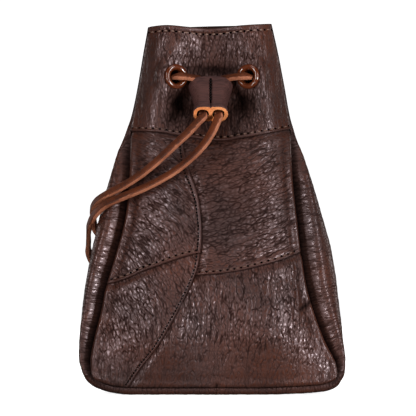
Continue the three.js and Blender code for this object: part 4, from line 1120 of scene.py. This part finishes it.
bm = bmesh.new()
rimStep = sliderDetail["rimBand"] / slider["length"]
bodyPlaces = np.linspace(0, 1, sliderDetail["rows"])
rimPlaces = np.array([0, rimStep / 3, rimStep])
sleevePlaces = np.concatenate([rimPlaces, bodyPlaces[1:-1], 1 - rimPlaces[::-1]])
rims = [addSleeve(bm, outerRing, sleevePlaces)]
outside = len(bm.faces)
for side in (-1, 1):
    channel = roundedRing(channelWidth, channelHeight, channelHeight * sliderDetail["channelCorner"], 4)
    channel = channel + np.array([side * channelCentre, 0])
    rims.append(addSleeve(bm, lambda along: channel, bodyPlaces))
inside = len(bm.faces)
for loops in zip(*rims):
    bmesh.ops.triangle_fill(bm, edges=[edge for loop in loops for edge in loop], use_beauty=True)
bm.faces.ensure_lookup_table()
for k, face in enumerate(bm.faces):
    face.smooth = k < inside
    face.material_index = 0 if k < outside else 2 if k < inside else 1
    place = np.array(face.calc_center_median()) / mm - inFrame(sliderOrigin)
    along = place.dot(sliderDown) / slider["length"]
    # faces deep in the slit take the near-black needle-hole material: painted shade
    inSlit = abs(place[0]) < sliderDetail["slitWidth"] and place.dot(sliderFront) > 0
    if k < outside and inSlit and sliderDetail["dark"][0] < along < sliderDetail["dark"][1]:
        face.material_index = 3
bmesh.ops.recalc_face_normals(bm, faces=bm.faces)
sleeve = pieceFrom("slider_sleeve", bm, sliderGrain, sliderCut, sliderLining, needleHole, smooth=False)
finishPiece(sleeve, "slider_leather", "cord_slider")

# black stitches lace the slit together
bm = bmesh.new()
turn = Matrix(((-1, 0, 0), tuple(sliderDown), tuple(sliderFront))).transposed().to_4x4()
onTop = np.array([[0, slider["thickness"] / 2 - sliderDetail["stitchSink"]]])
for k in range(sliderDetail["stitches"]):
    along = sliderDetail["firstStitch"] + k * sliderDetail["stitchStep"]
    addBead(bm, Vector(sliderPlace(onTop, along)[0]) * mm, turn, [r * mm for r in sliderDetail["stitch"]])
finishPiece(pieceFrom("slider_stitches", bm, blackThread), "slider_leather")
print("slider made")


# The belt loop: a strap whose ends are sewn to the back and whose middle stands off it
beltLoop = dict(
    width=38, room=46, standOff=8, tab=12, thickness=2.4, middle=117, clear=0.45, slopeShare=1.2, smooth=0.45,
    softened=0.5, columns=33, rows=91, stitchInset=2.6,
)
loopBottom = beltLoop["middle"] - beltLoop["room"] / 2
loopTop = beltLoop["middle"] + beltLoop["room"] / 2


def makeBeltLoop():
    slope = beltLoop["standOff"] * beltLoop["slopeShare"]
    low, high = loopBottom, loopTop
    z = np.linspace(low - beltLoop["tab"], high + beltLoop["tab"], beltLoop["rows"])[:, None]
    x = np.linspace(-0.5, 0.5, beltLoop["columns"])[None, :] * beltLoop["width"]
    x, z = np.broadcast_arrays(x, z)
    lift = smoothStep(z, low - 1, low + slope) * (1 - smoothStep(z, high - slope, high + 1))
    ends = [float(bagDepth(np.array(0.0), at, 1)) + beltLoop["clear"] + beltLoop["standOff"]
            for at in (low + slope, high - slope)]
    flat = ends[0] + (ends[1] - ends[0]) * (z - low - slope) / (high - low - 2 * slope)
    y = (bagDepth(x, z, 1) + beltLoop["clear"]) * (1 - lift) + flat * lift
    piece = sheetFrom("belt_loop_strap", inFrame(np.stack([x, y, z], -1)), np.stack([x, z], -1),
                      np.full(x.shape, beltLoop["smooth"]), 0 * x)
    addWall(piece, beltLoop["thickness"]).offset = 1
    bevel = piece.modifiers.new("softened", "BEVEL")
    bevel.width = beltLoop["softened"] * mm
    bevel.segments = 3
    bevel.limit_method = "ANGLE"
    bevel.angle_limit = math.radians(50)
    return piece


strap = makeBeltLoop()
finishPiece(strap, "body_leather", "belt_loop")
print("belt loop made")


# Thread: each stitch is a short rounded bar between two needle holes
thread = dict(width=0.4, height=0.34, share=0.46, hole=0.72)
dashes = dict(width=0.5, height=0.36, share=0.5, hole=0.62)
sewing = dict(longest=6, threadRise=0.08, holeDepth=0.2, holeRise=0.05, hemEnd=0.8, seamEnd=2.0)


def surfaceTree(pieces):
    # one tree over the pieces as they show, modifiers included
    graph = bpy.context.evaluated_depsgraph_get()
    verts, faces = [], []
    for piece in pieces:
        mesh = piece.evaluated_get(graph).data
        start = len(verts)
        verts += [v.co.copy() for v in mesh.vertices]
        faces += [[start + k for k in polygon.vertices] for polygon in mesh.polygons]
    return BVHTree.FromPolygons(verts, faces)


def beside(line, offset):
    # a line moved sideways: positive to the left of the way it runs
    line = np.asarray(line, float)[:, :2]
    along = np.gradient(line, axis=0)
    along /= np.maximum(np.linalg.norm(along, axis=1, keepdims=True), 1e-9)
    return line + np.stack([-along[:, 1], along[:, 0]], 1) * offset


def stitchHoles(line, tree, facing, skip):
    # needle holes on the surface at even steps, each with the leather's normal there
    length = lineLength(line)
    count = max(int((length - 2 * skip) / seams["pitch"]), 1)
    holes = []
    for x, z in resampled(line, np.linspace(skip, length - skip, count + 1) / length)[:, :2]:
        start = Vector(((x + bag["shiftX"]) * mm, facing * 0.1, z * mm))
        hit, normal, index, distance = tree.ray_cast(start, Vector((0, -facing, 0)))
        if hit is not None:
            holes.append((hit, normal if normal.y * facing > 0 else -normal))
    return holes


def sewLine(bm, holes, size=thread):
    for (here, up), (there, nextUp) in zip(holes, holes[1:]):
        along = there - here
        length = along.length
        if length > sewing["longest"] * mm:
            continue
        normal = (up + nextUp).normalized()
        along.normalize()
        across = normal.cross(along).normalized()
        normal = along.cross(across)
        turn = Matrix((along, across, normal)).transposed().to_4x4()
        middle = (here + there) / 2 + normal * sewing["threadRise"] * mm
        addBead(bm, middle, turn, (length * size["share"] / 2, size["width"] * mm, size["height"] * mm))
    # each needle hole is a small near-black bead: painted shade
    for here, up in holes:
        turn = Vector((0, 0, 1)).rotation_difference(up).to_matrix().to_4x4()
        addBead(holeBm, here + up * sewing["holeRise"] * mm, turn,
                (size["hole"] * mm, size["hole"] * mm, sewing["holeDepth"] * mm), 8, 4)


frontTree = surfaceTree([yoke, upperLeft, upperRight, lowerLeft, lowerRight])
backTree = surfaceTree([backPanel, strap])
seamBm, middleBm, hemBm, holeBm = (bmesh.new() for k in range(4))
fromEdge, seamEnd = seams["stitchBack"], sewing["seamEnd"]
sewLine(middleBm, stitchHoles(beside(middleLine, -fromEdge), frontTree, -1, seamEnd), dashes)
for line in (yokeLine, curveThrough(seams["lowerLeft"]), curveThrough(seams["lowerRight"])):
    sewLine(seamBm, stitchHoles(beside(line, fromEdge), frontTree, -1, seamEnd))
for mouth, sheets, facing in (("mouth", frontTree, -1), ("backMouth", backTree, 1)):
    hemLine = beside(curveThrough(seams[mouth]), -seams["hemStitch"])
    sewLine(hemBm, stitchHoles(hemLine, sheets, facing, sewing["hemEnd"]))
inset, tab = beltLoop["stitchInset"], beltLoop["tab"]
for bottom, top in ((loopBottom - tab + inset, loopBottom - inset), (loopTop + inset, loopTop + tab - inset)):
    wide = beltLoop["width"] / 2 - inset
    corners = [(-wide, bottom), (wide, bottom), (wide, top), (-wide, top), (-wide, bottom)]
    for here, there in zip(corners, corners[1:]):
        sewLine(seamBm, stitchHoles(np.linspace(here, there, 40), backTree, 1, 0.0))
for name, bm, material in (
    ("seam_thread", seamBm, bodyThread), ("middle_seam_thread", middleBm, blackThread),
    ("hem_thread", hemBm, hemThread), ("needle_holes", holeBm, needleHole),
):
    finishPiece(pieceFrom(name, bm, material), "body_leather")
print("seams stitched")


# Stage, light and camera, in metres
stage = dict(
    floorRadius=5.0, bend=1.2, wallTop=5.0, frontGlow=0.7, floorGlow=0.9, backGlow=1.05,
    nearGlow=(-0.9, 0.0), farGlow=(0.3, 4.0), greyTo=(-1.4, -0.3), roomGlow=0.04, aimHeight=0.09,
)
# Matt background paper that glows with painted light, brightest behind the bag: it glows less and greys off
# on the camera's side.
paper = newMaterial("matt_white_paper", Roughness=0.9, Emission_Color=(1, 1, 1, 1))
tree = paper.node_tree
depth = addNode(tree, "ShaderNodeSeparateXYZ",
                Vector=addNode(tree, "ShaderNodeTexCoord").outputs["Object"]).outputs["Y"]
near, far, shade = (
    addNode(tree, "ShaderNodeMapRange", {"interpolation_type": "SMOOTHSTEP"}, Value=depth, From_Min=reach[0],
            From_Max=reach[1], To_Min=low, To_Max=high).outputs["Result"]
    for reach, low, high in (
        (stage["nearGlow"], stage["frontGlow"], stage["floorGlow"]),
        (stage["farGlow"], 0.0, stage["backGlow"] - stage["floorGlow"]),
        (stage["greyTo"], 0.0, 1.0),
    )
)
glow = addNode(tree, "ShaderNodeMath", {"operation": "ADD"}, in0=near, in1=far).outputs["Value"]
wireShader(
    paper, Emission_Strength=glow,
    Base_Color=addNode(tree, "ShaderNodeValToRGB", Fac=shade, stops=[
        (0.0, "#8c8c8c"), (1.0, "#e6e6e6")]).outputs["Color"],
)
bm = bmesh.new()
floor, bend = stage["floorRadius"], stage["bend"]
profile = [(0, 0)]
profile += [(floor + bend * math.sin(t), bend * (1 - math.cos(t))) for t in np.linspace(0, math.pi / 2, 12)]
profile += [(floor + bend, stage["wallTop"])]
verts = [bm.verts.new((r, 0, h)) for r, h in profile]
edges = [bm.edges.new(pair) for pair in zip(verts, verts[1:])]
bmesh.ops.spin(bm, geom=verts + edges, cent=(0, 0, 0), axis=(0, 0, 1), angle=2 * math.pi, steps=64,
               use_merge=True)
bmesh.ops.remove_doubles(bm, verts=bm.verts, dist=1e-6)
bmesh.ops.recalc_face_normals(bm, faces=bm.faces)
sweep = pieceFrom("paper_sweep", bm, paper)
# the paper shows white and takes shadows, but the softboxes alone light the bag
sweep.visible_diffuse = False
sweep.visible_glossy = False
sweep.visible_shadow = False

world = bpy.data.worlds.new("studio")
bpy.context.scene.world = world
world.use_nodes = True
background = world.node_tree.nodes["Background"]
background.inputs["Color"].default_value = (1, 1, 1, 1)
background.inputs["Strength"].default_value = stage["roomGlow"]


def areaLight(name, azimuth, elevation, distance, size, power):
    # a softbox seen from the bag at an angle from the camera's side and above the horizon
    turn, rise = math.radians(azimuth), math.radians(elevation)
    aim = Vector((0, 0, stage["aimHeight"]))
    level = math.cos(rise)
    place = aim + distance * Vector((math.sin(turn) * level, -math.cos(turn) * level, math.sin(rise)))
    light = bpy.data.lights.new(name, "AREA")
    light.shape = "RECTANGLE"
    light.size, light.size_y = size
    light.energy = power
    lamp = bpy.data.objects.new(name, light)
    lamp.location = place
    lamp.rotation_euler = (aim - place).to_track_quat("-Z", "Y").to_euler()
    bpy.context.scene.collection.objects.link(lamp)


# azimuth, elevation, distance, width and height, watts
for softbox in (
    ("left_softbox", -38, 18, 1.4, (0.2, 0.55), 9),
    ("right_softbox", 46, 18, 1.4, (0.2, 0.55), 8.2),
    ("left_low", -34, -8, 1.4, (0.2, 0.3), 6),
    ("right_low", 38, -6, 1.4, (0.2, 0.34), 15),
    ("top_softbox", 0, 72, 1.4, (0.8, 0.4), 4),
    ("left_side", -128, 6, 1.2, (0.3, 0.5), 1.3),
    ("right_side", 128, 6, 1.2, (0.3, 0.5), 1.2),
    ("floor_bounce", 0, -24, 1.4, (0.8, 0.2), 0.8),
    ("back_fill", 180, 25, 1.4, (0.8, 0.8), 5),
):
    areaLight(*softbox)

cameraSizes = dict(distance=2.4, across=-2.2, up=102.3, span=228.8, plane=-18, sensor=36)
cameraData = bpy.data.cameras.new("camera")
cameraData.sensor_width = cameraSizes["sensor"]
cameraData.lens = cameraSizes["sensor"] * cameraSizes["distance"] / (cameraSizes["span"] * mm)
camera = bpy.data.objects.new("camera", cameraData)
camera.location = (cameraSizes["across"] * mm, cameraSizes["plane"] * mm - cameraSizes["distance"],
                   cameraSizes["up"] * mm)
camera.rotation_euler = (math.pi / 2, 0, 0)
bpy.context.scene.collection.objects.link(camera)
bpy.context.scene.camera = camera
bpy.context.scene.view_settings.view_transform = "Standard"

print("stage set")
